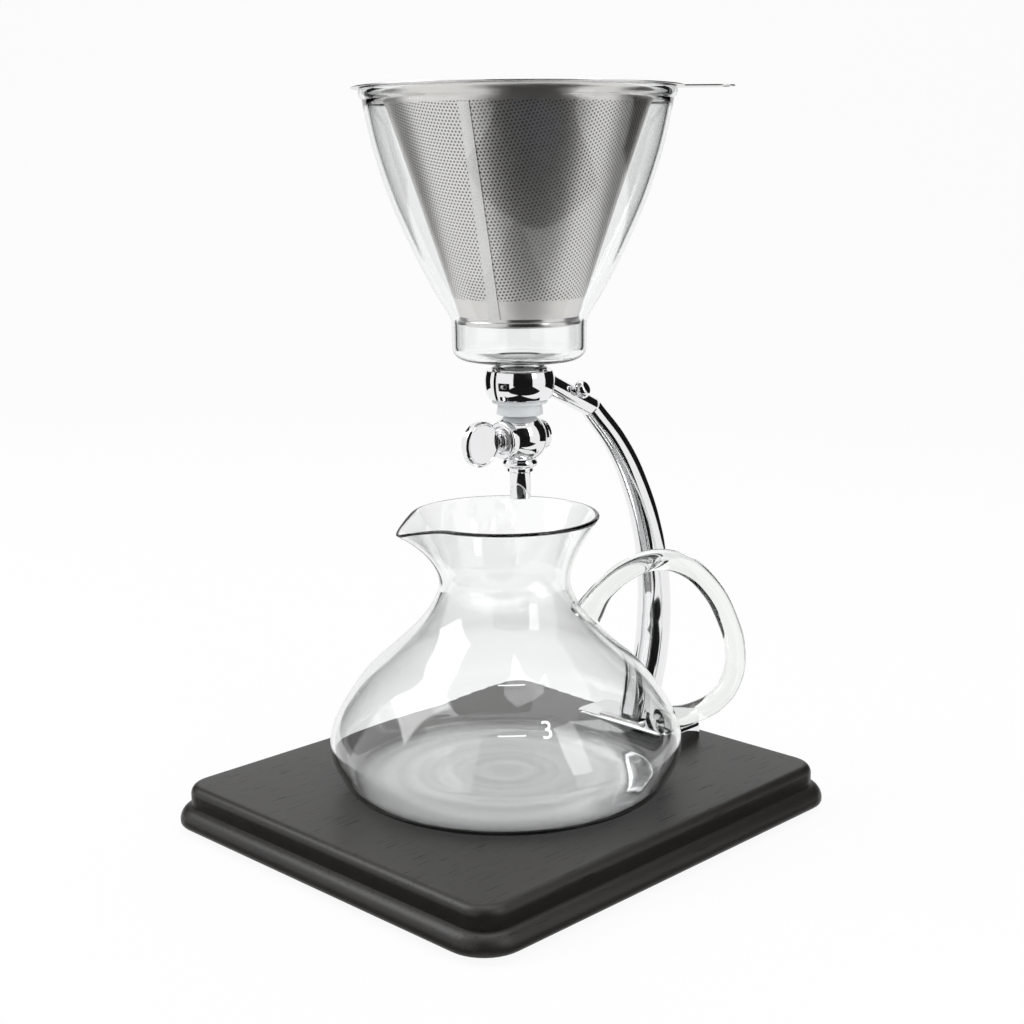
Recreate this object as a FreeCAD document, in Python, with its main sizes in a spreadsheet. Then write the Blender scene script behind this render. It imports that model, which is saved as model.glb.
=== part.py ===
import FreeCAD, Part
import math
import os
import re
import Sketcher

# Slow-drip coffee maker: a steel cone filter hangs in a glass funnel, which stands in a split
# collar on a curved chrome arm over a wooden board. A tap under the collar feeds a glass carafe.
# Millimetres. X is across the board, Y runs to the back, Z is up, and the feet stand on Z = 0.
# Pieces of the tower and the carafe are drawn about the tower's axis, with Z = 0 on the board.

doc = FreeCAD.newDocument("coffee_tower")
sheet = doc.addObject("Spreadsheet::Sheet", "Sizes")

SIZES = dict(
    # board and feet
    board_wide=181.6, board_deep=205.4, board_round=8.5, board_thick=17.5,
    ledge_high=9.0, upper_swell=4.2, lower_swell=9.3, upper_edge=4.0, lower_edge=6.5,
    under_edge=1.5, tower_off_x=5.3, tower_off_y=5.5,
    foot_radius=9.0, foot_high=2.5, foot_inset=16.0, foot_recess=1.4,
    foot_screw_head=3.4, foot_screw_radius=1.5, foot_screw_long=11.0, foot_screw_head_high=1.2,
    # arm, its base plate and its bolt
    plate_wide=58.0, plate_deep=26.0, plate_high=7.0, plate_round=5.0, plate_edge=1.5,
    arm_foot_y=80.0, badge_wide=28.0, badge_deep=2.9, badge_high=0.8,
    arm_low_radius=8.2, arm_top_radius=4.9,
    bolt_radius=3.0, bolt_long=34.0, bolt_head_radius=5.0, bolt_head_high=5.0,
    bolt_key_radius=2.4, bolt_key_deep=2.8, bolt_bite=18.0,
    washer_radius=8.0, washer_thick=1.6, bolt_pocket_radius=9.5, bolt_pocket_deep=8.5,
    spigot_radius=2.6, spigot_long=20.0,
    # collar and its two screws
    collar_radius=14.9, collar_high=12.2, collar_low=167.3, collar_edge=1.4, slit_wide=1.4,
    notch_wide=5.0, notch_high=3.4, notch_from=1.9, notch_deep=3.7,
    clamp_head_radius=1.3, clamp_head_long=1.6, clamp_radius=0.9, clamp_long=7.4,
    clamp_key_radius=0.75,
    tail_root=12.6, tail_from=14.0, tail_long=34.0, tail_radius=4.6, tail_lean=25.5,
    thumb_along=19.5, thumb_turn=30.0, thumb_head_radius=3.9, thumb_head_long=4.6,
    thumb_radius=1.6, thumb_dome=0.9,
    # funnel glass
    glass_wall=2.2, neck_radius=10.4, neck_wall=1.8, lip_radius=11.8, lip_high=1.5,
    chamber_floor=4.2, chamber_radius=28.4, chamber_high=17.5, chamber_round=6.0,
    cone_round=5.0, funnel_high=115.0, rim_gap=5.4, rim_bead=1.1, rim_bead_high=3.2,
    cone_bulge=4.6,
    # steel filter
    sheet_thick=0.5, filter_top_radius=56.3, filter_low_radius=25.2, filter_long=91.5,
    flange_wide=11.7, tab_long=20.4, tab_wide=18.0, tab_slot_wide=2.6, tab_slot_long=9.0,
    tab_slot_in=3.4, tab_turn=44.0, base_ring_high=4.0, base_ring_wall=1.8,
    base_ring_lip=3.9, seam_wide=4.6, seam_turn=-68.0, seam_high=85.0,
    # silicone stopper
    stopper_flange_radius=11.75, stopper_flange_high=2.0, stopper_top_radius=9.3,
    stopper_low_radius=10.0, stopper_skirt=4.9, stopper_plug_long=9.0,
    # tap
    ball_radius=11.6, ball_drop=17.0, inlet_radius=3.35, inlet_high=22.5, water_bore=2.2,
    ring_radius=7.5, ring_thick=4.0, ring_drop=10.7, socket_radius=5.6, socket_drop=14.5,
    tube_radius=4.5, tube_wall=0.9, tube_long=15.0, tube_seat=3.4,
    boss_radius=8.0, boss_reach=11.6, back_reach=10.4, plug_radius=4.5, plug_half=9.4,
    seal_wide=1.4, seal_deep=0.9, seal_from=5.6, nut_radius=5.0, nut_thick=2.0,
    spindle_radius=2.4, tenon_radius=1.3, tenon_long=5.0, cap_radius=7.0, cap_thick=2.4,
    cap_slot=1.2, cap_slot_deep=1.0,
    paddle_radius=9.6, paddle_thick=4.2, paddle_edge=0.9, paddle_stand_off=0.4,
    # carafe
    carafe_off_y=-10.0, carafe_high=118.0, carafe_wall=2.0, base_radius=64.0,
    belly_radius=76.9, belly_high=19.0, shoulder_radius=68.5, shoulder_high=38.5,
    slope_radius=47.0, slope_high=62.0, throat_radius=28.4, throat_high=87.0, mouth_radius=41.0,
    spout_turn=245.0, spout_reach=49.5, spout_round=3.6, spout_drop=4.5, spout_start=30.0,
    handle_turn=65.0, handle_radius=4.75,
    # clearances
    play=0.05, gap=0.3,
)

# Middle line of the arm from its foot up. Each point is how far it lies behind the foot, as a
# share of the way from the tail's end to the foot, how far it has climbed from the plate to the
# tail, and how far its thickness has gone from the foot's to the tail's.
ARM_LINE = [(0.0, 0.0, 0.0), (0.12, 0.09, 0.0), (0.24, 0.19, 0.02), (0.30, 0.31, 0.05),
            (0.27, 0.455, 0.2), (0.13, 0.60, 0.4), (-0.12, 0.74, 0.6), (-0.47, 0.87, 0.8),
            (-1.0, 1.0, 1.0)]
# Middle line of the glass handle: distance from the carafe's axis and height over the board.
HANDLE_LINE = [(36.0, 69.0), (46.0, 80.5), (58.0, 88.8), (72.0, 92.0), (86.0, 88.0), (98.0, 77.5),
               (107.0, 62.5), (112.0, 46.0), (110.5, 32.5), (103.0, 23.0), (90.0, 18.3),
               (74.5, 16.5)]


def fill_sheet():
    for row, (name, value) in enumerate(SIZES.items(), start=1):
        sheet.set("A%d" % row, name)
        sheet.set("B%d" % row, str(value))
        sheet.setAlias("B%d" % row, name)
    doc.recompute()


fill_sheet()


def bound(text):
    """Puts the sheet's name before every alias in an expression."""
    return re.sub(r"\b[a-z][a-z_]*\b", lambda m: "Sizes." + m.group(0) if m.group(0) in SIZES
                  else m.group(0), str(text))


def value(text):
    return float(sheet.evalExpression(bound(text)))


def origin_plane(body, role):
    return next(f for f in body.Origin.OriginFeatures if f.Role == role)


def new_body(name, x="0", y="0", z="0"):
    body = doc.addObject("PartDesign::Body", name)
    body.Label = name
    for axis, text in zip("xyz", (x, y, z)):
        body.setExpression("Placement.Base." + axis, bound(text))
    return body


def tower_body(name):
    return new_body(name, "tower_off_x", "tower_off_y", "foot_high + board_thick")


def new_sketch(body, role="XY_Plane", lift="0"):
    sketch = body.newObject("Sketcher::SketchObject", body.Name + "_sketch")
    sketch.AttachmentSupport = (origin_plane(body, role), [""])
    sketch.MapMode = "FlatFace"
    sketch.setExpression("AttachmentOffset.Base.z", bound(lift))
    return sketch


def pin(sketch, geo, point, x, y):
    """Holds one point of the sketch at two expressions."""
    for kind, text in (("DistanceX", x), ("DistanceY", y)):
        number = sketch.addConstraint(Sketcher.Constraint(kind, -1, 1, geo, point, value(text)))
        sketch.setExpression("Constraints[%d]" % number, bound(text))


def draw_outline(sketch, points):
    """Closed outline through points given as pairs of expressions. A third expression is how
    far the side that follows the point swells to the left of its chord."""
    places = [FreeCAD.Vector(value(point[0]), value(point[1]), 0) for point in points]
    first = sketch.GeometryCount
    for index, point in enumerate(points):
        start, end = places[index], places[(index + 1) % len(points)]
        if len(point) == 2:
            sketch.addGeometry(Part.LineSegment(start, end), False)
            continue
        chord = end - start
        left = FreeCAD.Vector(-chord.y, chord.x, 0).normalize()
        middle = (start + end) / 2 + left * value(point[2])
        sketch.addGeometry(Part.Arc(start, middle, end), False)
    ends = [arc_ends(sketch, first + index, place) for index, place in enumerate(places)]
    for index, point in enumerate(points):
        here = first + index
        following = (index + 1) % len(points)
        start_side, end_side = ends[index]
        sketch.addConstraint(Sketcher.Constraint("Coincident", here, end_side,
                                                 first + following, ends[following][0]))
        pin(sketch, here, start_side, point[0], point[1])
        if len(point) == 3:
            after = points[following]
            swell = "abs(%s)" % point[2]
            radius = "((%s - (%s))^2 + (%s - (%s))^2) / (8 * %s) + %s / 2" % (
                after[0], point[0], after[1], point[1], swell, swell)
            number = sketch.addConstraint(Sketcher.Constraint("Radius", here, value(radius)))
            sketch.setExpression("Constraints[%d]" % number, bound(radius))


def arc_ends(sketch, geo, start):
    """Which of a side's two ends is its start. Arcs always run to the left."""
    return (1, 2) if sketch.getPoint(geo, 1).distanceToPoint(start) < 1e-6 else (2, 1)


def draw_circle(sketch, radius, x="0", y="0"):
    centre = FreeCAD.Vector(value(x), value(y), 0)
    geo = sketch.addGeometry(Part.Circle(centre, FreeCAD.Vector(0, 0, 1), value(radius)), False)
    pin(sketch, geo, 3, x, y)
    number = sketch.addConstraint(Sketcher.Constraint("Radius", geo, value(radius)))
    sketch.setExpression("Constraints[%d]" % number, bound(radius))


def draw_box(sketch, wide, deep, x="0", y="0"):
    left, right = "%s - (%s) / 2" % (x, wide), "%s + (%s) / 2" % (x, wide)
    low, high = "%s - (%s) / 2" % (y, deep), "%s + (%s) / 2" % (y, deep)
    draw_outline(sketch, [(left, low), (right, low), (right, high), (left, high)])


def extrude(body, sketch, kind, length, back=False, both=False):
    feature = body.newObject("PartDesign::" + kind, body.Name + "_" + kind.lower())
    feature.Profile = sketch
    feature.Reversed = back
    feature.Midplane = both
    feature.setExpression("Length", bound(length))
    sketch.Visibility = False
    doc.recompute()
    return feature


def turn(body, points, kind="Revolution", role="XZ_Plane"):
    """Turns an outline of (radius, height) pairs about the body's own Z axis."""
    sketch = new_sketch(body, role)
    draw_outline(sketch, points)
    feature = body.newObject("PartDesign::" + kind, body.Name + "_" + kind.lower())
    feature.Profile = sketch
    feature.ReferenceAxis = (sketch, ["V_Axis"])
    feature.Angle = 360
    doc.recompute()
    return feature


def round_edges(body, radius, wanted, kind="Fillet"):
    """Rounds or bevels every edge whose centre passes the test."""
    base = body.Tip
    names = ["Edge%d" % number for number, edge in enumerate(base.Shape.Edges, start=1)
             if wanted(edge)]
    feature = body.newObject("PartDesign::" + kind, body.Name + "_" + kind.lower())
    feature.Base = (base, names)
    feature.setExpression("Radius" if kind == "Fillet" else "Size", bound(radius))
    doc.recompute()
    return feature


def at_height(height, least_radius=0.0, most_radius=1e6):
    """Test for flat edges at one height, between two distances from the Z axis."""
    def wanted(edge):
        box = edge.BoundBox
        reach = max(abs(box.XMin), abs(box.XMax), abs(box.YMin), abs(box.YMax))
        level = abs(box.ZMin - height) < 0.01 and abs(box.ZMax - height) < 0.01
        return level and least_radius - 0.01 <= reach <= most_radius + 0.01
    return wanted


def upright(length):
    """Test for straight edges parallel to Z that are as long as given."""
    def wanted(edge):
        box = edge.BoundBox
        return box.XLength + box.YLength < 1e-3 and abs(box.ZLength - length) < 0.01
    return wanted


def four_corners(body, kind, radius, length, lift="0", back=False):
    """The same round feature at the four feet."""
    sketch = new_sketch(body, lift=lift)
    for side in ("-1", "1"):
        for end in ("-1", "1"):
            draw_circle(sketch, radius, side + " * (board_wide / 2 - foot_inset)",
                        end + " * (board_deep / 2 - foot_inset)")
    return extrude(body, sketch, kind, length, back)


def round_feature(body, kind, radius, length, x="0", y="0", lift="0", back=False):
    sketch = new_sketch(body, lift=lift)
    draw_circle(sketch, radius, x, y)
    return extrude(body, sketch, kind, length, back)


# The board has a wide lower moulding and a narrower upper one, both with rounded edges.

def make_board():
    body = new_body("base_board", z="foot_high")
    lower = new_sketch(body)
    draw_box(lower, "board_wide + 2 * lower_swell", "board_deep + 2 * lower_swell")
    extrude(body, lower, "Pad", "board_thick - ledge_high")
    round_edges(body, "board_round + lower_swell", upright(value("board_thick - ledge_high")))
    round_edges(body, "lower_edge", at_height(value("board_thick - ledge_high")))
    round_edges(body, "under_edge", at_height(0))
    upper = new_sketch(body, lift="board_thick - ledge_high")
    draw_box(upper, "board_wide + 2 * upper_swell", "board_deep + 2 * upper_swell")
    extrude(body, upper, "Pad", "ledge_high")
    round_edges(body, "board_round + upper_swell", upright(value("ledge_high")))
    round_edges(body, "upper_edge", at_height(value("board_thick")))
    four_corners(body, "Pocket", "foot_screw_radius + play",
                 "foot_screw_long + foot_recess - foot_high + 1", back=True)
    where = dict(x="tower_off_x", y="tower_off_y + arm_foot_y")
    round_feature(body, "Pocket", "bolt_pocket_radius", "bolt_pocket_deep", back=True, **where)
    round_feature(body, "Pocket", "bolt_radius + gap", "board_thick", back=True, **where)
    return body


def make_feet():
    body = new_body("base_feet")
    body.AllowCompound = True
    four_corners(body, "Pad", "foot_radius", "foot_high")
    four_corners(body, "Pocket", "foot_screw_head + gap", "foot_recess", back=True)
    four_corners(body, "Pocket", "foot_screw_radius + play", "foot_high", back=True)
    return body


def make_foot_screws():
    body = new_body("foot_screws", z="foot_recess")
    body.AllowCompound = True
    four_corners(body, "Pad", "foot_screw_head", "foot_screw_head_high", back=True)
    four_corners(body, "Pad", "foot_screw_radius", "foot_screw_long")
    return body


# The arm is one tapered casting on a flat plate, pulled down by a bolt from below.

TAIL_END_Y = "(tail_from + tail_long * cos(tail_lean))"
TAIL_END_Z = "(collar_low + collar_high / 2 - tail_long * sin(tail_lean))"


def arm_place(index):
    back, climb, thin = ARM_LINE[index]
    y = "arm_foot_y + %s * (arm_foot_y - %s)" % (back, TAIL_END_Y)
    z = "plate_high + %s * (%s - plate_high)" % (climb, TAIL_END_Z)
    return y, z, "arm_low_radius + (arm_top_radius - arm_low_radius) * %s" % thin


def leaning_sketch(body, y, z, lean):
    """Sketch whose normal is the Z axis turned about X by some degrees."""
    sketch = new_sketch(body)
    turned = FreeCAD.Rotation(FreeCAD.Vector(1, 0, 0), lean)
    sketch.AttachmentOffset = FreeCAD.Placement(FreeCAD.Vector(0, value(y), value(z)), turned)
    sketch.setExpression("AttachmentOffset.Base.y", bound(y))
    sketch.setExpression("AttachmentOffset.Base.z", bound(z))
    sketch.Visibility = False
    return sketch


def line_lean(index):
    """Angle that turns the Z axis about X onto the arm's line at one station."""
    if index == 0:
        return 0.0
    if index == len(ARM_LINE) - 1:
        return 90.0 - value("tail_lean")
    before = [value(text) for text in arm_place(index - 1)]
    after = [value(text) for text in arm_place(index + 1)]
    return math.degrees(math.atan2(before[0] - after[0], after[1] - before[1]))


def make_arm():
    body = tower_body("arm")
    sections = []
    for index in range(len(ARM_LINE)):
        y, z, radius = arm_place(index)
        sections.append(leaning_sketch(body, y, z, line_lean(index)))
        draw_circle(sections[-1], radius)
    loft = body.newObject("PartDesign::AdditiveLoft", "arm_loft")
    loft.Profile = sections[0]
    loft.Sections = sections[1:]
    doc.recompute()
    spigot = leaning_sketch(body, TAIL_END_Y, TAIL_END_Z, 90.0 - value("tail_lean"))
    draw_circle(spigot, "spigot_radius")
    extrude(body, spigot, "Pad", "spigot_long")
    round_feature(body, "Pocket", "bolt_radius + play", "bolt_bite", y="arm_foot_y",
                  lift="plate_high", back=True)
    return body


def make_arm_plate():
    body = tower_body("arm_base")
    sketch = new_sketch(body)
    draw_box(sketch, "plate_wide", "plate_deep", y="arm_foot_y")
    extrude(body, sketch, "Pad", "plate_high")
    round_edges(body, "plate_round", upright(value("plate_high")))
    round_edges(body, "plate_edge", at_height(value("plate_high")))
    round_feature(body, "Pocket", "bolt_radius + play", "plate_high", y="arm_foot_y", back=True)
    return body


def make_badge():
    body = tower_body("base_badge")
    sketch = new_sketch(body, lift="plate_high")
    front = "arm_foot_y - plate_deep / 2 + plate_edge"
    back = "arm_foot_y - arm_low_radius - gap"
    draw_box(sketch, "badge_wide", "badge_deep", y="((%s) / 2 + (%s) / 2)" % (front, back))
    extrude(body, sketch, "Pad", "badge_high")
    return body


def make_arm_bolt():
    body = tower_body("arm_bolt")
    seat = "bolt_pocket_deep - washer_thick - board_thick"
    round_feature(body, "Pad", "bolt_head_radius", "bolt_head_high", y="arm_foot_y",
                  lift=seat, back=True)
    round_feature(body, "Pad", "bolt_radius", "bolt_long", y="arm_foot_y", lift=seat)
    round_feature(body, "Pocket", "bolt_key_radius", "bolt_key_deep", y="arm_foot_y",
                  lift=seat + " - bolt_head_high", back=True)
    return body


def make_arm_washer():
    body = tower_body("arm_washer")
    ceiling = "bolt_pocket_deep - board_thick"
    round_feature(body, "Pad", "washer_radius", "washer_thick", y="arm_foot_y", lift=ceiling,
                  back=True)
    round_feature(body, "Pocket", "bolt_radius + gap", "washer_thick * 2", y="arm_foot_y",
                  lift=ceiling, back=False)
    return body


# The collar is a split ring with a tail, which takes the arm's spigot.

COLLAR_MIDDLE = "(collar_low + collar_high / 2)"
COLLAR_TOP = "(collar_low + collar_high)"
RING_MIDDLE_Y = "-(collar_radius + neck_radius + gap) / 2"


def make_collar():
    body = tower_body("collar")
    round_feature(body, "Pad", "collar_radius", "collar_high", lift="collar_low")
    for height in ("collar_low", COLLAR_TOP):
        round_edges(body, "collar_edge", at_height(value(height)))
    rise = "(tail_from - tail_root) * tan(tail_lean)"
    start = leaning_sketch(body, "tail_root", COLLAR_MIDDLE + " + " + rise,
                           -90.0 - value("tail_lean"))
    draw_circle(start, "tail_radius")
    extrude(body, start, "Pad", "tail_long + (tail_from - tail_root) / cos(tail_lean)")
    round_feature(body, "Pocket", "neck_radius + gap", "collar_high * 3",
                  lift="collar_low - collar_high", back=True)
    end = leaning_sketch(body, TAIL_END_Y, TAIL_END_Z, -90.0 - value("tail_lean"))
    draw_circle(end, "spigot_radius + play")
    extrude(body, end, "Pocket", "spigot_long + 1")
    slit = new_sketch(body, lift="collar_low - 1")
    draw_box(slit, "slit_wide", "collar_radius", y="-collar_radius")
    extrude(body, slit, "Pocket", "collar_high + 2", back=True)
    notch = new_sketch(body, lift=COLLAR_MIDDLE + " - notch_high / 2")
    draw_box(notch, "notch_wide", "notch_deep * 2", x="notch_from + notch_wide / 2",
             y="-collar_radius")
    extrude(body, notch, "Pocket", "notch_high", back=True)
    side_hole(body, "clamp_radius + play", "-clamp_long", "clamp_long * 2", RING_MIDDLE_Y,
              COLLAR_MIDDLE)
    thumb_hole(body)
    return body


def side_hole(body, radius, start, length, y, z, kind="Pocket"):
    """Round feature along X."""
    sketch = new_sketch(body, "YZ_Plane", lift=start)
    draw_circle(sketch, radius, y, z)
    return extrude(body, sketch, kind, length, back=(kind == "Pocket"))


THUMB_Y = "(tail_from + thumb_along * cos(tail_lean))"
THUMB_Z = "(%s - thumb_along * sin(tail_lean))" % COLLAR_MIDDLE


def thumb_direction():
    """Out of the tail's side, turned up from X."""
    lean = math.radians(value("tail_lean"))
    up = math.radians(value("thumb_turn"))
    outward, upward = math.cos(up), math.sin(up)
    return FreeCAD.Vector(outward, upward * math.sin(lean), upward * math.cos(lean))


def thumb_rotation():
    return FreeCAD.Rotation(FreeCAD.Vector(0, 0, 1), thumb_direction())


def thumb_hole(body):
    sketch = new_sketch(body)
    place = FreeCAD.Vector(0, value(THUMB_Y), value(THUMB_Z))
    sketch.AttachmentOffset = FreeCAD.Placement(place, thumb_rotation())
    sketch.setExpression("AttachmentOffset.Base.y", bound(THUMB_Y))
    sketch.setExpression("AttachmentOffset.Base.z", bound(THUMB_Z))
    draw_circle(sketch, "thumb_radius + play")
    extrude(body, sketch, "Pocket", "tail_radius * 2", back=True)


def make_thumb_screw():
    body = doc.addObject("PartDesign::Body", "thumb_screw")
    body.Label = "thumb_screw"
    place = FreeCAD.Vector(value("tower_off_x"), value("tower_off_y + " + THUMB_Y),
                           value("foot_high + board_thick + " + THUMB_Z))
    body.Placement = FreeCAD.Placement(place, thumb_rotation())
    seat = "(tail_radius + gap)"
    top = seat + " + thumb_head_long"
    turn(body, [("0", "spigot_radius + play"), ("thumb_radius", "spigot_radius + play"),
                ("thumb_radius", seat), ("thumb_head_radius", seat),
                ("thumb_head_radius", top + " - thumb_dome", "-thumb_dome / 5"),
                ("thumb_radius / 2", top), ("0", top)])
    return body


def make_clamp_screw():
    body = tower_body("clamp_screw")
    head = "notch_from + gap"
    side_hole(body, "clamp_head_radius", head, "clamp_head_long", RING_MIDDLE_Y, COLLAR_MIDDLE,
              "Pad")
    side_hole(body, "clamp_radius", head + " - clamp_long", "clamp_long", RING_MIDDLE_Y,
              COLLAR_MIDDLE, "Pad")
    sketch = new_sketch(body, "YZ_Plane", lift=head + " + clamp_head_long")
    draw_circle(sketch, "clamp_key_radius", RING_MIDDLE_Y, COLLAR_MIDDLE)
    extrude(body, sketch, "Pocket", "clamp_head_long / 2")
    return body


# The funnel's lip stands on the collar and its neck goes down through it.

RIM_RADIUS = "(filter_top_radius + rim_gap + glass_wall + rim_bead)"


def make_funnel():
    body = tower_body("funnel_glass")
    floor = COLLAR_TOP + " + chamber_floor"
    knee = floor + " + chamber_high"
    top = COLLAR_TOP + " + funnel_high"
    inner = "neck_radius - neck_wall"
    turn(body, [
        (inner, "collar_low"), ("neck_radius", "collar_low"), ("neck_radius", COLLAR_TOP),
        ("lip_radius", COLLAR_TOP), ("lip_radius", COLLAR_TOP + " + lip_high"),
        ("neck_radius", COLLAR_TOP + " + lip_high"), ("neck_radius", floor),
        ("chamber_radius", floor), ("chamber_radius", knee, "-cone_bulge"),
        (RIM_RADIUS + " - rim_bead", top + " - rim_bead_high"),
        (RIM_RADIUS, top + " - rim_bead_high"), (RIM_RADIUS, top),
        (RIM_RADIUS + " - glass_wall - rim_bead", top),
        (RIM_RADIUS + " - glass_wall - rim_bead", top + " - rim_bead_high", "cone_bulge"),
        ("chamber_radius - glass_wall", knee),
        ("chamber_radius - glass_wall", floor + " + glass_wall"),
        (inner, floor + " + glass_wall")])
    floor_z, knee_z = value(floor), value(knee)
    round_edges(body, "chamber_round", at_height(floor_z, value("chamber_radius") - 1))
    round_edges(body, "chamber_round - glass_wall",
                at_height(floor_z + value("glass_wall"), value("chamber_radius - glass_wall") - 0.1,
                          value("chamber_radius - glass_wall") + 0.1))
    round_edges(body, "cone_round",
                at_height(knee_z, value("chamber_radius - glass_wall") - 0.1,
                          value("chamber_radius") + 0.1))
    round_edges(body, "rim_bead", at_height(value(top), value(RIM_RADIUS) - 0.1))
    round_edges(body, "lip_high / 2.1", at_height(value(COLLAR_TOP + " + lip_high"),
                                                  value("lip_radius") - 0.1, value("lip_radius")))
    return body


# The filter is a steel cone that hangs from its flange on the funnel's rim.

FUNNEL_TOP = "(collar_low + collar_high + funnel_high)"
CONE_FOOT = "(%s - filter_long)" % FUNNEL_TOP
FLANGE_RADIUS = "(filter_top_radius + flange_wide)"
TAB_REACH = "(%s + tab_long)" % FLANGE_RADIUS


def make_filter_cone():
    body = tower_body("filter_cone")
    turn(body, [("filter_low_radius - sheet_thick", CONE_FOOT), ("filter_low_radius", CONE_FOOT),
                ("filter_top_radius", FUNNEL_TOP), ("filter_top_radius - sheet_thick", FUNNEL_TOP)])
    return body


def make_filter_rim():
    body = new_body("filter_rim", "tower_off_x", "tower_off_y",
                    "foot_high + board_thick + " + FUNNEL_TOP)
    round_feature(body, "Pad", FLANGE_RADIUS, "sheet_thick")
    tab = new_sketch(body)
    draw_box(tab, TAB_REACH + " - filter_top_radius", "tab_wide",
             x="(%s + filter_top_radius) / 2" % TAB_REACH)
    extrude(body, tab, "Pad", "sheet_thick")
    round_edges(body, "tab_wide / 2.2", lambda edge: upright(value("sheet_thick"))(edge)
                and edge.BoundBox.XMin > value(TAB_REACH) - 0.1)
    round_feature(body, "Pocket", "filter_top_radius - sheet_thick", "sheet_thick", back=True)
    slot = new_sketch(body)
    draw_box(slot, "tab_slot_wide", "tab_slot_long", x=TAB_REACH + " - tab_slot_in")
    extrude(body, slot, "Pocket", "sheet_thick", back=True)
    body.Placement.Rotation = FreeCAD.Rotation(FreeCAD.Vector(0, 0, 1), value("tab_turn"))
    doc.recompute()
    return body


def make_base_ring():
    body = tower_body("filter_base_ring")
    low = CONE_FOOT + " - base_ring_high"
    step = low + " + sheet_thick"
    wall = "filter_low_radius + sheet_thick - base_ring_wall"
    lip = "filter_low_radius + sheet_thick - base_ring_lip"
    turn(body, [(lip, low), ("filter_low_radius + sheet_thick", low),
                ("filter_low_radius + sheet_thick", CONE_FOOT), (wall, CONE_FOOT), (wall, step),
                (lip, step)])
    return body


def make_base_mesh():
    body = tower_body("filter_base_mesh")
    round_feature(body, "Pad", "filter_low_radius + sheet_thick - base_ring_wall - play",
                  "sheet_thick", lift=CONE_FOOT + " - base_ring_high + sheet_thick")
    return body


def make_seam():
    """Lap strip spot-welded down the outside of the cone."""
    body = new_body("filter_seam", "tower_off_x", "tower_off_y",
                    "foot_high + board_thick + " + CONE_FOOT)
    slope = "(filter_top_radius - filter_low_radius) / filter_long"
    top = "filter_low_radius + seam_high * " + slope
    turn(body, [("filter_low_radius", "0"), ("filter_low_radius + sheet_thick", "0"),
                (top + " + sheet_thick", "seam_high"), (top, "seam_high")])
    for side in ("-1", "1"):
        cut = new_sketch(body, lift="-1")
        half = "filter_top_radius * 2"
        draw_box(cut, half + " * 2", half, y="%s * (seam_wide + %s) / 2" % (side, half))
        extrude(body, cut, "Pocket", "seam_high + 2", back=True)
    behind = new_sketch(body, lift="-1")
    draw_box(behind, "filter_top_radius * 2", "seam_wide * 2", x="-filter_top_radius")
    extrude(body, behind, "Pocket", "seam_high + 2", back=True)
    body.Placement.Rotation = FreeCAD.Rotation(FreeCAD.Vector(0, 0, 1), value("seam_turn"))
    doc.recompute()
    return body


# Turned pieces and castings of the tap are put together from plain solids.

BALL_Z = "(collar_low - ball_drop)"


def primitive(kind, x, y, z, along="Z", **sizes):
    """One plain solid of the tower, placed by expressions. Its axis runs along Z, Y or X."""
    solid = doc.addObject("Part::" + kind, kind.lower())
    turns = {"Z": (0, 0, 1, 0), "Y": (1, 0, 0, -90), "X": (0, 1, 0, 90)}[along]
    solid.Placement.Rotation = FreeCAD.Rotation(FreeCAD.Vector(*turns[:3]), turns[3])
    for name, text in sizes.items():
        solid.setExpression(name, bound(text))
    for axis, offset, text in (("x", "tower_off_x", x), ("y", "tower_off_y", y),
                               ("z", "foot_high + board_thick", z)):
        solid.setExpression("Placement.Base." + axis, bound("%s + (%s)" % (offset, text)))
    return solid


def rod(radius, length, y="0", z="0", along="Z", x="0"):
    return primitive("Cylinder", x, y, z, along, Radius=radius, Height=length)


def built_up(name, added, removed=()):
    """Joins the added solids, takes the removed ones away and gives the result its label."""
    result = added[0]
    if len(added) > 1:
        result = doc.addObject("Part::MultiFuse", name + "_joined")
        result.Shapes = added
    for index, tool in enumerate(removed):
        cut = doc.addObject("Part::Cut", "%s_cut_%d" % (name, index))
        cut.Base = result
        cut.Tool = tool
        result = cut
    result.Label = name
    doc.recompute()
    return result


def make_stopper():
    flange_low = "collar_low - stopper_flange_high"
    low = flange_low + " - stopper_skirt"
    bore = "inlet_radius + play"
    return built_up("stopper", [
        rod("stopper_flange_radius", "stopper_flange_high", z=flange_low),
        rod("neck_radius - neck_wall - play", "stopper_plug_long", z="collar_low"),
        primitive("Cone", "0", "0", low, Radius1="stopper_low_radius", Radius2="stopper_top_radius",
                  Height="stopper_skirt"),
    ], [
        rod(bore, "stopper_plug_long * 4", z=low + " - stopper_plug_long"),
        primitive("Sphere", "0", "0", BALL_Z, Radius="ball_radius + gap"),
    ])


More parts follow.
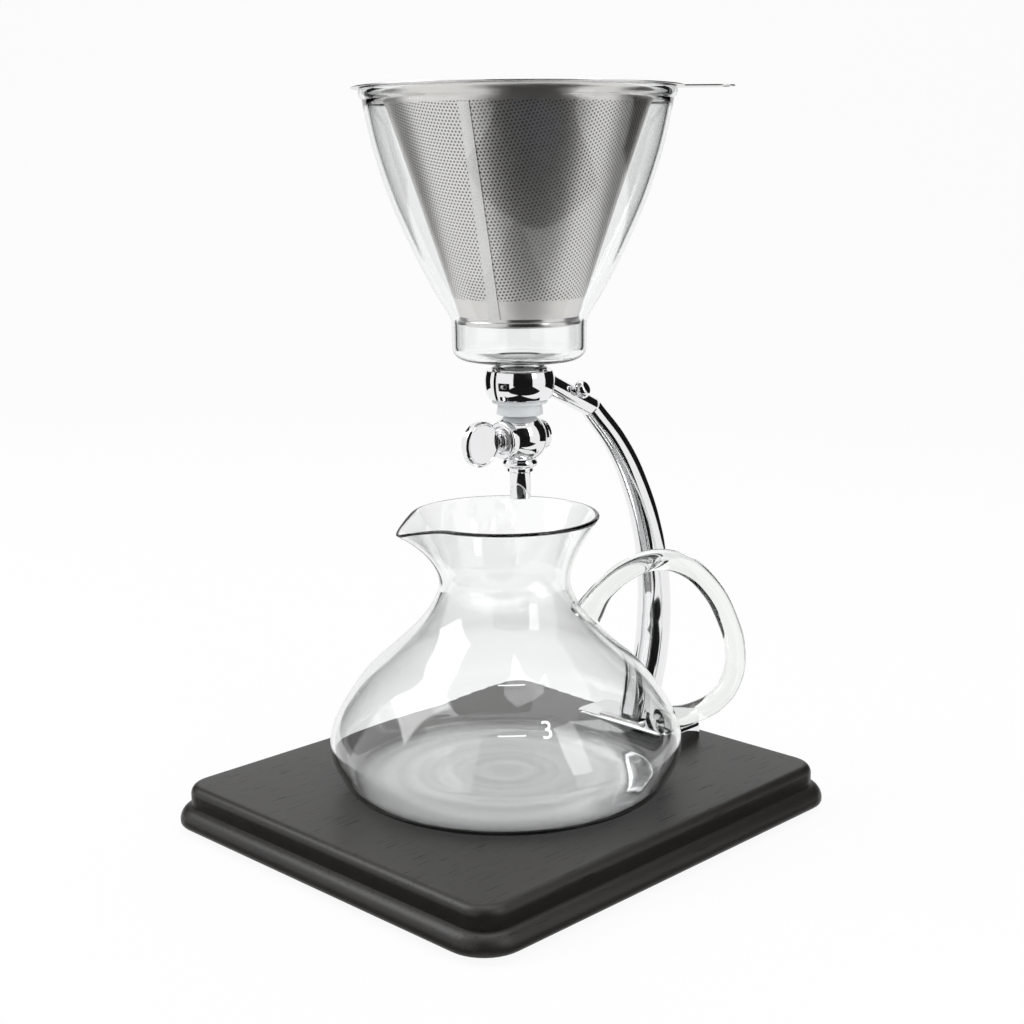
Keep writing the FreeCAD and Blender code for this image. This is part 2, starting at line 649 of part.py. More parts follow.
def make_tap_body():
    ring_z = "(%s - ring_drop)" % BALL_Z
    return built_up("tap_body", [
        primitive("Sphere", "0", "0", BALL_Z, Radius="ball_radius"),
        rod("inlet_radius", "inlet_high", z=BALL_Z),
        rod("boss_radius", "boss_reach", y="-boss_reach", z=BALL_Z, along="Y"),
        rod("cap_radius + 0.6", "back_reach", z=BALL_Z, along="Y"),
        primitive("Torus", "0", "0", ring_z, Radius1="ring_radius - ring_thick / 2",
                  Radius2="ring_thick / 2"),
        rod("socket_radius", "socket_drop", z=BALL_Z + " - socket_drop"),
    ], [
        primitive("Box", "-ball_radius", "back_reach", BALL_Z + " - ball_radius",
                  Length="ball_radius * 2", Width="ball_radius", Height="ball_radius * 2"),
        rod("water_bore", "inlet_high + socket_drop + 2", z=BALL_Z + " - socket_drop - 1"),
        rod("tube_radius + play", "tube_seat", z=BALL_Z + " - socket_drop"),
        rod("plug_radius + play", "ball_radius * 3", y="-ball_radius * 1.5", z=BALL_Z, along="Y"),
    ])


def make_outlet_tube():
    top = BALL_Z + " - socket_drop + tube_seat"
    low = top + " - tube_long"
    return built_up("outlet_tube", [rod("tube_radius", "tube_long", z=low)],
                    [rod("tube_radius - tube_wall", "tube_long * 2", z=low + " - tube_long / 2")])


def make_packing_nut():
    face = "-boss_reach - nut_thick"
    return built_up("packing_nut", [rod("nut_radius", "nut_thick", y=face, z=BALL_Z, along="Y")],
                    [rod("spindle_radius + play", "nut_thick * 3", y=face + " - nut_thick",
                         z=BALL_Z, along="Y")])


def make_packing():
    """Soft washer between the plug's shoulder and the nut."""
    return built_up("gland_packing", [
        rod("plug_radius", "boss_reach - plug_half - play", y="-boss_reach", z=BALL_Z, along="Y"),
    ], [
        rod("spindle_radius + play", "boss_reach * 3", y="-boss_reach * 2", z=BALL_Z, along="Y"),
    ])


def make_back_cap():
    return built_up("back_cap", [
        rod("cap_radius", "cap_thick", y="back_reach", z=BALL_Z, along="Y"),
    ], [
        primitive("Box", "-cap_radius", "back_reach + cap_thick - cap_slot_deep",
                  BALL_Z + " - cap_slot / 2", Length="cap_radius * 2", Width="cap_slot_deep",
                  Height="cap_slot"),
    ])


def seal_start(side):
    """Low end along Y of the groove before or behind the water bore."""
    return "seal_from" if side > 0 else "-seal_from - seal_wide"


def make_valve_plug():
    grooves = []
    for side in (-1, 1):
        groove = built_up("seal_groove", [
            rod("plug_radius + 1", "seal_wide", y=seal_start(side), z=BALL_Z, along="Y"),
        ], [
            rod("plug_radius - seal_deep", "seal_wide * 3", y=seal_start(side) + " - seal_wide",
                z=BALL_Z, along="Y"),
        ])
        grooves.append(groove)
    return built_up("valve_plug", [
        rod("plug_radius", "plug_half * 2", y="-plug_half", z=BALL_Z, along="Y"),
    ], [rod("water_bore", "plug_radius * 3", z=BALL_Z + " - plug_radius * 1.5")] + grooves)


def make_seals():
    rings = []
    for side in (-1, 1):
        rings.append(built_up("seal_ring", [
            rod("plug_radius + play / 2", "seal_wide - play", y=seal_start(side) + " + play / 2",
                z=BALL_Z, along="Y"),
        ], [
            rod("plug_radius - seal_deep + play / 2", "seal_wide * 3",
                y=seal_start(side) + " - seal_wide", z=BALL_Z, along="Y"),
        ]))
    group = doc.addObject("Part::Compound", "plug_seals")
    group.Links = rings
    group.Label = "plug_seals"
    doc.recompute()
    return group


SPINDLE_END = "-(boss_reach + nut_thick + paddle_stand_off)"
PADDLE_Y = "(%s - paddle_radius)" % SPINDLE_END


def make_spindle():
    return built_up("valve_spindle", [
        rod("spindle_radius", "-(%s) - plug_half" % SPINDLE_END, y=SPINDLE_END, z=BALL_Z,
            along="Y"),
        rod("tenon_radius", "tenon_long", y=SPINDLE_END + " - tenon_long", z=BALL_Z, along="Y"),
    ])


def make_paddle():
    """Flat round finger plate that stands in the plane of the spindle."""
    side = "-paddle_thick / 2"
    disc = rod("paddle_radius", "paddle_thick", x=side, y=PADDLE_Y, z=BALL_Z, along="X")
    doc.recompute()
    edged = doc.addObject("Part::Chamfer", "paddle_edged")
    edged.Base = disc
    edge_size = value("paddle_edge")
    edged.Edges = [(number, edge_size, edge_size) for number, edge in
                   enumerate(disc.Shape.Edges, start=1) if edge.BoundBox.XLength < 1e-6]
    doc.recompute()
    return built_up("valve_paddle", [edged], [
        rod("tenon_radius + play", "tenon_long + 0.5", y=SPINDLE_END + " - tenon_long", z=BALL_Z,
            along="Y"),
    ])


# The carafe is blown and pulled glass, which neither sketches nor plain solids give.

def carafe_origin():
    return FreeCAD.Vector(value("tower_off_x"), value("tower_off_y + carafe_off_y"),
                          value("foot_high + board_thick"))


def carafe_line(inset):
    """Outside of the carafe, or its inside when inset by the wall, as radius and height."""
    wall = value("carafe_wall") * inset
    names = ("base", "belly", "shoulder", "slope", "throat")
    points = [(value(name + "_radius") - wall, value(name + "_high") if name != "base" else wall)
              for name in names]
    return points + [(value("mouth_radius") - wall, value("carafe_high"))]


SWELLS = (3.2, 2.7, 0.9, -3.3, -3.0)


def turned_carafe(inset):
    points = [FreeCAD.Vector(radius, 0, height) for radius, height in carafe_line(inset)]
    edges = [Part.makeLine(FreeCAD.Vector(0, 0, points[0].z), points[0])]
    for start, end, swell in zip(points, points[1:], SWELLS):
        chord = end - start
        out = FreeCAD.Vector(chord.z, 0, -chord.x).normalize()
        edges.append(Part.Arc(start, (start + end) / 2 + out * swell, end).toShape())
    top = FreeCAD.Vector(0, 0, points[-1].z + inset)
    if inset:
        edges.append(Part.makeLine(points[-1], points[-1] + FreeCAD.Vector(0, 0, inset)))
        edges.append(Part.makeLine(points[-1] + FreeCAD.Vector(0, 0, inset), top))
    else:
        edges.append(Part.makeLine(points[-1], top))
    edges.append(Part.makeLine(top, FreeCAD.Vector(0, 0, points[0].z)))
    face = Part.Face(Part.Wire(edges))
    return face.revolve(FreeCAD.Vector(0, 0, 0), FreeCAD.Vector(0, 0, 1), 360)


def teardrop(big, reach, small, height):
    """Outline of a mouth of radius big drawn out along X to a small round nose."""
    away = reach - small
    lean = math.acos((big - small) / away)
    cos, sin = math.cos(lean), math.sin(lean)

    def at(x, y):
        return FreeCAD.Vector(x, y, height)

    left = (at(big * cos, big * sin), at(away + small * cos, small * sin))
    right = (at(big * cos, -big * sin), at(away + small * cos, -small * sin))
    return Part.Wire([Part.makeLine(*left), Part.Arc(left[1], at(reach, 0), right[1]).toShape(),
                      Part.makeLine(right[1], right[0]),
                      Part.Arc(right[0], at(-big, 0), left[0]).toShape()])


def spout(inset):
    """Solid of the pulled spout between its root on the throat and the mouth's height."""
    wall = value("carafe_wall") * inset
    top = value("carafe_high") + inset
    root = top - value("spout_start")
    reaches = ((0.0, 0.0, 0.6), (0.35, 0.14, 0.75), (0.7, 0.52, 0.9), (1.0, 1.0, 1.0))
    throat, mouth = value("throat_radius"), value("mouth_radius")
    wires = []
    for climb, out, share in reaches:
        big = throat - 2 + (mouth - throat - 2) * climb ** 2 - wall
        far = throat + 0.5 + (value("spout_reach") - throat - 0.5) * out - wall
        wires.append(teardrop(big, max(far, big + 0.5), value("spout_round") * share - wall * 0.4,
                              root + (top - root) * climb))
    return Part.makeLoft(wires, True, False)


def pouring_cut():
    """Wedge that lets the spout's lip droop below the mouth."""
    top, drop, tip = value("carafe_high"), value("spout_drop"), value("spout_reach")
    start = value("mouth_radius") * 0.72
    points = [FreeCAD.Vector(start, -tip, top), FreeCAD.Vector(tip + 5, -tip, top - drop * 1.2),
              FreeCAD.Vector(tip + 5, -tip, top + 5), FreeCAD.Vector(start, -tip, top + 5)]
    face = Part.Face(Part.makePolygon(points + points[:1]))
    return face.extrude(FreeCAD.Vector(0, tip * 2, 0))


def shown(name, shape, place):
    feature = doc.addObject("Part::Feature", name)
    feature.Label = name
    feature.Shape = shape
    feature.Placement = place
    return feature


def make_carafe():
    outer = turned_carafe(0).fuse(spout(0))
    inner = turned_carafe(1).fuse(spout(1))
    glass = outer.cut(inner).cut(pouring_cut())
    turned = FreeCAD.Rotation(FreeCAD.Vector(0, 0, 1), value("spout_turn"))
    return shown("carafe_glass", glass.removeSplitter(), FreeCAD.Placement(carafe_origin(), turned))


def rounded_path(points):
    """Straight runs joined by tangent arcs as large as the runs allow."""
    edges = []
    last = points[0]
    for before, corner, after in zip(points, points[1:], points[2:]):
        into = (corner - before).normalize()
        out = (after - corner).normalize()
        reach = 0.45 * min((corner - before).Length, (after - corner).Length)
        start, end = corner - into * reach, corner + out * reach
        half = into.getAngle(out) / 2
        sink = reach / math.tan(half) * (1 / math.cos(half) - 1)
        middle = corner + (out - into).normalize() * sink
        edges.append(Part.makeLine(last, start))
        edges.append(Part.Arc(start, middle, end).toShape())
        last = end
    edges.append(Part.makeLine(last, points[-1]))
    return Part.Wire(edges)


def make_handle():
    points = [FreeCAD.Vector(radius, 0, height) for radius, height in HANDLE_LINE]
    path = rounded_path(points)
    ring = Part.makeCircle(value("handle_radius"), points[0], (points[1] - points[0]).normalize())
    glass = path.makePipeShell([Part.Wire([ring])], True, False)
    glass = glass.cut(turned_carafe(0))
    turned = FreeCAD.Rotation(FreeCAD.Vector(0, 0, 1), value("handle_turn"))
    return shown("carafe_handle", glass, FreeCAD.Placement(carafe_origin(), turned))


MAKERS = (make_board, make_feet, make_foot_screws, make_arm, make_arm_plate, make_badge,
          make_arm_bolt, make_arm_washer, make_collar, make_clamp_screw, make_thumb_screw,
          make_funnel, make_filter_cone, make_filter_rim, make_base_ring, make_base_mesh,
          make_seam, make_stopper, make_tap_body, make_outlet_tube, make_packing_nut,
          make_packing, make_back_cap, make_valve_plug, make_seals, make_spindle, make_paddle,
          make_carafe, make_handle)


def save_parts():
    pieces = [make() for make in MAKERS]
    doc.recompute()
    for thing in doc.Objects:
        if "Invalid" in thing.State or "Error" in thing.State:
            raise RuntimeError("%s failed: %s" % (thing.Label, thing.State))
    for piece in pieces:
        if piece.Shape.isNull() or not piece.Shape.isValid():
            raise RuntimeError(piece.Label + " has no valid shape")
    os.makedirs("parts", exist_ok=True)
    for piece in pieces:
        piece.Shape.exportStep(os.path.join("parts", piece.Label + ".step"))
        print("%-18s %2d solids %10.1f mm3" % (piece.Label, len(piece.Shape.Solids),
                                               piece.Shape.Volume))


save_parts()
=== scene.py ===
import math
import bpy
from mathutils import Matrix, Vector


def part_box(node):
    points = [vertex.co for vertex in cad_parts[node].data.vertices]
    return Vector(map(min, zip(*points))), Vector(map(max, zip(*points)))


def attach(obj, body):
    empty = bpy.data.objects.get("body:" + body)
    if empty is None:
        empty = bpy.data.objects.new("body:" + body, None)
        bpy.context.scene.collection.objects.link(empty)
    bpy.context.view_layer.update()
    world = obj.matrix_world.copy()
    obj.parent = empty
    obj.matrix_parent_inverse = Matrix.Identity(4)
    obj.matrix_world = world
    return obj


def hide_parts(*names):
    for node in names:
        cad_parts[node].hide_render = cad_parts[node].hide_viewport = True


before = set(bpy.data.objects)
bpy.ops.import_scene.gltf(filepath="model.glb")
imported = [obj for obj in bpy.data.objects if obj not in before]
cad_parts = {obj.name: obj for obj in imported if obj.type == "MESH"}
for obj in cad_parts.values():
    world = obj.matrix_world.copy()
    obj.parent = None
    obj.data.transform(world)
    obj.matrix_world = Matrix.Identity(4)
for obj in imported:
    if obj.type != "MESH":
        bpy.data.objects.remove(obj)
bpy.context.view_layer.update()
print("frame loaded:", len(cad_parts), "nodes")

mm = 0.001
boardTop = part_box("base_board")[1].z
funnelLow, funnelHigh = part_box("funnel_glass")
tower = Vector(((funnelLow.x + funnelHigh.x) / 2, (funnelLow.y + funnelHigh.y) / 2, boardTop))


class Wire:
    # a value in a shader that Python can reckon with

    def __init__(self, bench, socket):
        self.bench = bench
        self.socket = socket

    def reckon(self, operation, *values):
        settings = dict(operation=operation)
        return self.bench.node("ShaderNodeMath", settings, dict(enumerate(values)))

    def __add__(self, other):
        return self.reckon("ADD", self, other)

    def __radd__(self, other):
        return self.reckon("ADD", other, self)

    def __sub__(self, other):
        return self.reckon("SUBTRACT", self, other)

    def __rsub__(self, other):
        return self.reckon("SUBTRACT", other, self)

    def __mul__(self, other):
        return self.reckon("MULTIPLY", self, other)

    def __rmul__(self, other):
        return self.reckon("MULTIPLY", other, self)

    def __truediv__(self, other):
        return self.reckon("DIVIDE", self, other)

    def __gt__(self, other):
        return self.reckon("GREATER_THAN", self, other)

    def __lt__(self, other):
        return self.reckon("LESS_THAN", self, other)

    def lowest(self, other):
        return self.reckon("MINIMUM", self, other)

    def highest(self, other):
        return self.reckon("MAXIMUM", self, other)

    def fraction(self):
        return self.reckon("FRACT", self)

    def root(self):
        return self.reckon("SQRT", self)


class Bench:
    # the node tree of one material or of the world

    def __init__(self, tree):
        self.tree = tree

    def node(self, kind, settings=None, sockets=None, output=0):
        made = self.tree.nodes.new(kind)
        for name, setting in (settings or {}).items():
            if name == "stops":
                for index, (place, colour) in enumerate(setting):
                    stops = made.color_ramp.elements
                    stop = stops[index] if index < 2 else stops.new(place)
                    stop.position = place
                    stop.color = (*colour, 1)
            else:
                setattr(made, name, setting)
        for key, value in (sockets or {}).items():
            if isinstance(value, Wire):
                self.tree.links.new(value.socket, made.inputs[key])
            else:
                made.inputs[key].default_value = value
        return Wire(self, made.outputs[output]) if made.outputs else None

    def places(self, stretch=(1, 1, 1), turn=(0, 0, 0)):
        here = self.node("ShaderNodeTexCoord", output="Object")
        return self.node("ShaderNodeMapping", sockets={"Vector": here, "Scale": stretch,
                                                       "Rotation": turn})

    def axes(self, vector):
        split = self.node("ShaderNodeSeparateXYZ", sockets={0: vector})
        return [Wire(self, socket) for socket in split.socket.node.outputs]

    def noise(self, where, scale, detail=3.0, roughness=0.5):
        return self.node("ShaderNodeTexNoise", sockets={
            "Vector": where, "Scale": scale, "Detail": detail, "Roughness": roughness})

    def between(self, share, low, high):
        return self.node("ShaderNodeMapRange", sockets={0: share, 3: low, 4: high})

    def blend(self, share, first, second):
        settings = dict(data_type="RGBA")
        return self.node("ShaderNodeMix", settings, {0: share, 6: (*first, 1), 7: (*second, 1)},
                         output=2)


class Finish(Bench):
    # a material with one Principled shader

    def __init__(self, name, fixed):
        self.material = bpy.data.materials.new(name)
        self.material.use_nodes = True
        Bench.__init__(self, self.material.node_tree)
        self.shader = self.tree.nodes["Principled BSDF"]
        for socket, value in fixed.items():
            self.shader.inputs[socket].default_value = value

    def feed(self, socket, wire):
        self.tree.links.new(wire.socket, self.shader.inputs[socket])

    def volume(self, kind, sockets):
        inside = self.node(kind, sockets=sockets)
        output = self.tree.nodes["Material Output"]
        self.tree.links.new(inside.socket, output.inputs["Volume"])

    def bump(self, height, strength, distance):
        self.feed("Normal", self.node("ShaderNodeBump", sockets={
            "Height": height, "Strength": strength, "Distance": distance}))


stain = dict(dark=(0.0055, 0.0047, 0.0043), pale=(0.018, 0.015, 0.0128),
             pore=(0.002, 0.0018, 0.0016), grainScale=160, cloudScale=14, poreScale=1500,
             grainLong=0.07, poreLong=0.035, poreLevel=0.655)


def blackWood():
    finish = Finish("blackStainedWood", {"Coat Roughness": 0.3, "Specular IOR Level": 0.42})
    along = finish.places((1, stain["grainLong"], 1))
    grain = finish.noise(along, stain["grainScale"], 6, 0.6)
    cloud = finish.noise(finish.places(), stain["cloudScale"], 3)
    poreAlong = finish.places((1, stain["poreLong"], 1))
    pores = finish.noise(poreAlong, stain["poreScale"], 2, 0.5) > stain["poreLevel"]
    tone = finish.blend(grain, stain["dark"], stain["pale"])
    inPore = {0: pores, 6: tone, 7: (*stain["pore"], 1)}
    finish.feed("Base Color", finish.node("ShaderNodeMix", dict(data_type="RGBA"), inPore,
                                          output=2))
    finish.feed("Roughness", 0.34 + 0.12 * cloud + 0.08 * grain + 0.25 * pores)
    finish.feed("Coat Weight", finish.between(cloud, 0.05, 0.2))
    finish.bump(0.35 * grain - pores, 0.25, 0.0002)
    return finish.material


def chromePlate():
    finish = Finish("chromePlate", {"Metallic": 1.0})
    smudge = finish.noise(finish.places(), 55, 4, 0.6)
    finish.feed("Base Color", finish.blend(smudge, (0.80, 0.80, 0.81), (0.88, 0.88, 0.89)))
    finish.feed("Roughness", finish.between(smudge, 0.02, 0.075))
    return finish.material


def plainSteel(name, low, high, rough):
    finish = Finish(name, {"Metallic": 1.0})
    streak = finish.noise(finish.places((1, 1, 0.12)), 420, 4, 0.6)
    cloud = finish.noise(finish.places(), 40, 3)
    finish.feed("Base Color", finish.blend(cloud, low, high))
    finish.feed("Roughness", rough + 0.12 * streak)
    finish.bump(streak, 0.03, 0.00003)
    return finish.material


perforation = dict(pitch=1.55 * mm, hole=0.40 * mm, low=boardTop + 210.6 * mm,
                   high=boardTop + 288.4 * mm)


def holeMask(finish, across, along):
    # staggered rows: two square-cornered grids of holes, one set half a step aside
    pitch = perforation["pitch"]
    tall = pitch * math.sqrt(3)
    nearest = None
    for shift in (0.0, 0.5):
        sideways = ((across / pitch + shift).fraction() - 0.5) * pitch
        upward = ((along / tall + shift).fraction() - 0.5) * tall
        reach = (sideways * sideways + upward * upward).root()
        nearest = reach if nearest is None else nearest.lowest(reach)
    return nearest < perforation["hole"]


def perforatedSteel(name, flat):
    finish = Finish(name, {})
    if flat:
        place = finish.node("ShaderNodeTexCoord", output="Object")
    else:
        place = finish.node("ShaderNodeUVMap", dict(uv_map="sheet"))
    across, along = finish.axes(place)[:2]
    hole = holeMask(finish, across, along)
    if not flat:
        height = finish.axes(finish.node("ShaderNodeTexCoord", output="Object"))[2]
        hole = hole * (height > perforation["low"]) * (height < perforation["high"])
    cloud = finish.noise(finish.places(), 30, 3)
    steel = finish.blend(cloud, (0.76, 0.735, 0.715), (0.85, 0.83, 0.81))
    # the holes are painted near-black: painted shade for the dim inside seen through them
    tone = {0: hole, 6: steel, 7: (0.045, 0.04, 0.038, 1)}
    finish.feed("Base Color", finish.node("ShaderNodeMix", dict(data_type="RGBA"), tone, output=2))
    finish.feed("Metallic", 1 - hole)
    finish.feed("Roughness", 0.27 + 0.08 * cloud + 0.4 * hole)
    finish.bump(1 - hole, 0.3, 0.0002)
    return finish.material


def clearGlass(name, tint, thickTint):
    finish = Finish(name, {"Transmission Weight": 1.0, "IOR": 1.47})
    drawn = finish.noise(finish.places((1, 1, 0.4)), 22, 2)
    finish.feed("Base Color", finish.blend(drawn, tint, thickTint))
    finish.feed("Roughness", finish.between(drawn, 0.0, 0.012))
    finish.bump(drawn, 0.05, 0.0004)
    finish.volume("ShaderNodeVolumeAbsorption", {"Color": (0.82, 0.85, 0.84, 1),
                                                 "Density": 40.0})
    return finish


def softPlastic(name, low, high, rough, fixed):
    finish = Finish(name, fixed)
    cloud = finish.noise(finish.places(), 90, 4, 0.6)
    finish.feed("Base Color", finish.blend(cloud, low, high))
    finish.feed("Roughness", rough + 0.15 * cloud)
    finish.bump(cloud, 0.1, 0.0001)
    return finish.material


wood = blackWood()
chrome = chromePlate()
satinSteel = plainSteel("satinSteel", (0.66, 0.65, 0.64), (0.76, 0.75, 0.74), 0.16)
screwSteel = plainSteel("screwSteel", (0.42, 0.42, 0.43), (0.55, 0.55, 0.55), 0.28)
coneSteel = perforatedSteel("perforatedSteel", False)
meshSteel = perforatedSteel("perforatedBottom", True)
blownGlass = clearGlass("blownGlass", (0.985, 0.993, 0.988), (1.0, 1.0, 1.0)).material
rodGlass = clearGlass("drawnRodGlass", (0.975, 0.985, 0.96), (0.995, 1.0, 0.99)).material
silicone = softPlastic("milkySilicone", (0.74, 0.78, 0.79), (0.82, 0.85, 0.86), 0.35,
                       {"Subsurface Weight": 0.25, "Subsurface Radius": (0.004, 0.004, 0.004)})
footRubber = softPlastic("footRubber", (0.018, 0.018, 0.018), (0.035, 0.034, 0.033), 0.6, {})
sealRubber = softPlastic("sealRubber", (0.02, 0.02, 0.02), (0.04, 0.04, 0.04), 0.5, {})
packingWhite = softPlastic("packingWhite", (0.78, 0.78, 0.76), (0.86, 0.86, 0.85), 0.4, {})
# white enamel print with a painted glow: the emission makes the marks give light of their own
glowingEnamel = softPlastic("whiteEnamelPaintedGlow", (0.84, 0.85, 0.85), (0.93, 0.93, 0.93), 0.4,
                     {"Emission Color": (1, 1, 1, 1), "Emission Strength": 0.4})
print("finishes made")


def smoothRun(points, steps=6):
    # rounded line through all the points
    run = []
    count = len(points)
    for index in range(count - 1):
        a = Vector(points[max(index - 1, 0)])
        b, c = Vector(points[index]), Vector(points[index + 1])
        d = Vector(points[min(index + 2, count - 1)])
        for step in range(steps):
            t = step / steps
            run.append(0.5 * (2 * b + (c - a) * t + (2 * a - 5 * b + 4 * c - d) * t ** 2
                              + (3 * b - a - 3 * c + d) * t ** 3))
    run.append(Vector(points[-1]))
    return run


def roundedCorners(corners, closed=True, steps=5):
    # corners are (radius, height, rounding)
    run = []
    count = len(corners)
    for index, (x, z, rounding) in enumerate(corners):
        here = Vector((x, z))
        if rounding == 0 or (not closed and index in (0, count - 1)):
            run.append(here)
            continue
        before = Vector(corners[index - 1][:2]) - here
        after = Vector(corners[(index + 1) % count][:2]) - here
        half = before.angle(after) / 2
        reach = rounding / math.tan(half)
        start, end = here + before.normalized() * reach, here + after.normalized() * reach
        centre = here + (before.normalized() + after.normalized()).normalized() \
            * (rounding / math.sin(half))
        first, last = start - centre, end - centre
        sweep = first.angle_signed(last)
        for step in range(steps + 1):
            turned = first.copy()
            turned.rotate(Matrix.Rotation(-sweep * step / steps, 2))
            run.append(centre + turned)
    return run


def setIn(run, wall):
    # the same line moved by the wall's thickness, to the left of its direction
    moved = []
    for index, point in enumerate(run):
        ahead = run[min(index + 1, len(run) - 1)] - run[max(index - 1, 0)]
        ahead.normalize()
        moved.append(point + Vector((-ahead.y, ahead.x)) * wall)
    return moved


def halfRound(start, end, steps=6):
    # half circle from start to end, bulging to the right of that way
    centre, arm = (start + end) / 2, (start - end) / 2
    return [centre + Matrix.Rotation(math.pi * step / steps, 2) @ arm
            for step in range(1, steps)]


def deselect():
    if bpy.context.mode != "OBJECT":
        bpy.ops.object.mode_set(mode="OBJECT")
    bpy.ops.object.select_all(action="DESELECT")


def makeActive(piece):
    deselect()
    piece.select_set(True)
    bpy.context.view_layer.objects.active = piece


def turned(name, outline, centre=tower, steps=96, loop=True):
    # one vertex drawn along the outline, then spun about the axis
    deselect()
    bpy.ops.mesh.primitive_plane_add(size=mm)
    piece = bpy.context.object
    piece.name = piece.data.name = name
    bpy.ops.object.mode_set(mode="EDIT")
    bpy.ops.mesh.select_all(action="SELECT")
    bpy.ops.mesh.merge(type="CENTER")
    route = [Vector((x * mm, 0, z * mm)) for x, z in outline]
    if loop:
        route.append(route[0])
    bpy.ops.transform.translate(value=centre + route[0])
    for before, after in zip(route, route[1:]):
        bpy.ops.mesh.extrude_region_move(TRANSFORM_OT_translate={"value": after - before})
    bpy.ops.mesh.select_all(action="SELECT")
    bpy.ops.mesh.spin(steps=steps, angle=2 * math.pi, center=centre, axis=(0, 0, 1))
    bpy.ops.mesh.select_all(action="SELECT")
    bpy.ops.mesh.remove_doubles(threshold=2e-6)
    bpy.ops.mesh.normals_make_consistent(inside=False)
    bpy.ops.object.mode_set(mode="OBJECT")
    return piece


def bentRod(name, route, radii, sides=10, fineness=10):
    # smooth rod through the points of the route, with its own radius at each
    deselect()
    bpy.ops.curve.primitive_bezier_curve_add()
    curve = bpy.context.object
    curve.name = name
    curve.data.dimensions = "3D"
    spline = curve.data.splines[0]
    spline.bezier_points.add(len(route) - len(spline.bezier_points))
    for point, place, radius in zip(spline.bezier_points, route, radii):
        point.co = place
        point.radius = radius * mm
        point.handle_left_type = point.handle_right_type = "AUTO"
    spline.resolution_u = fineness
    curve.data.bevel_depth = 1.0
    curve.data.bevel_resolution = sides
    curve.data.use_fill_caps = True
    bpy.ops.object.convert(target="MESH")
    piece = bpy.context.object
    piece.data.name = name
    return piece


def slab(name, low, high):
    # box between two corners
    deselect()
    low, high = Vector(low), Vector(high)
    bpy.ops.mesh.primitive_cube_add(size=1)
    piece = bpy.context.object
    piece.name = piece.data.name = name
    bpy.ops.object.mode_set(mode="EDIT")
    bpy.ops.transform.resize(value=high - low)
    bpy.ops.transform.translate(value=(low + high) / 2)
    bpy.ops.object.mode_set(mode="OBJECT")
    return piece


def bevelEdges(piece, wanted, width, segments=5):
    # rounds the edges whose two ends pass the test
    makeActive(piece)
    mesh = piece.data
    bpy.ops.object.mode_set(mode="EDIT")
    bpy.ops.mesh.select_mode(type="EDGE")
    bpy.ops.mesh.select_all(action="DESELECT")
    bpy.ops.object.mode_set(mode="OBJECT")
    for edge in mesh.edges:
        ends = [mesh.vertices[v].co for v in edge.vertices]
        edge.select = wanted(*ends)
    bpy.ops.object.mode_set(mode="EDIT")
    bpy.ops.mesh.bevel(offset=width, segments=segments, affect="EDGES", clamp_overlap=True)
    bpy.ops.mesh.select_mode(type="VERT")
    bpy.ops.object.mode_set(mode="OBJECT")


def applyTo(piece, kind, **settings):
    makeActive(piece)
    modifier = piece.modifiers.new(kind.lower(), kind)
    for name, setting in settings.items():
        setattr(modifier, name, setting)
    bpy.ops.object.modifier_apply(modifier=modifier.name)


def combine(piece, tool, operation):
    applyTo(piece, "BOOLEAN", object=tool, operation=operation, solver="EXACT")
    bpy.data.objects.remove(tool)


def placed(piece, place, turnTo=None):
    # moves the mesh from the origin, with its Z axis turned to the given direction
    makeActive(piece)
    if turnTo is not None:
        piece.rotation_mode = "QUATERNION"
        piece.rotation_quaternion = Vector(turnTo).to_track_quat("Z", "Y")
    piece.location = place
    bpy.ops.object.transform_apply(location=True, rotation=True, scale=True)
    return piece


def keep(piece, material, body, slot, *nodes, sharp=32):
    # last step of every piece
    makeActive(piece)
    bpy.ops.object.transform_apply(location=True, rotation=True, scale=True)
    bpy.ops.object.shade_smooth_by_angle(angle=math.radians(sharp))
    piece.data.materials.clear()
    piece.data.materials.append(material)
    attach(piece, body)
    if nodes:
        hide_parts(*nodes)
    print("  piece", piece.name, len(piece.data.polygons), "faces")
    return piece


origin = Vector((0, 0, 0))
upZ, alongX, alongY = Vector((0, 0, 1)), Vector((1, 0, 0)), Vector((0, 1, 0))


board = dict(wide=200.2, deep=224.0, lowHigh=8.5, upWide=190.0, upDeep=213.8, high=17.5,
             lowCorner=17.8, upCorner=12.7, lowRound=6.5, upRound=4.0, under=1.5, foot=2.5)


def makeBoard():
    layers = []
    for name, wide, deep, low, high, corner, rounding in (
            ("lower", "wide", "deep", 0, board["lowHigh"], "lowCorner", "lowRound"),
            ("upper", "upWide", "upDeep", board["lowHigh"] - 1, board["high"], "upCorner",
             "upRound")):
        half = Vector((board[wide] / 2, board[deep] / 2, 0)) * mm
        bottom = (low + board["foot"]) * mm
        top = (high + board["foot"]) * mm
        layer = slab(name, (-half.x, -half.y, bottom), (half.x, half.y, top))
        bevelEdges(layer, lambda a, b: abs(a.z - b.z) > mm, board[corner] * mm, 10)
        bevelEdges(layer, lambda a, b: min(a.z, b.z) > top - 1e-5, board[rounding] * mm, 9)
        layers.append(layer)
    lowest = board["foot"] * mm
    bevelEdges(layers[0], lambda a, b: max(a.z, b.z) < lowest + 1e-5, board["under"] * mm, 4)
    combine(layers[0], layers[1], "UNION")
    layers[0].name = layers[0].data.name = "baseBoard"
    return keep(layers[0], wood, "stand", "black_wood", "base_board")


makeBoard()


feet = dict(inX=16.0 + 9.3, inY=16.0 + 9.3, radius=9.0, high=2.5, dish=3.7, dishDeep=1.4)


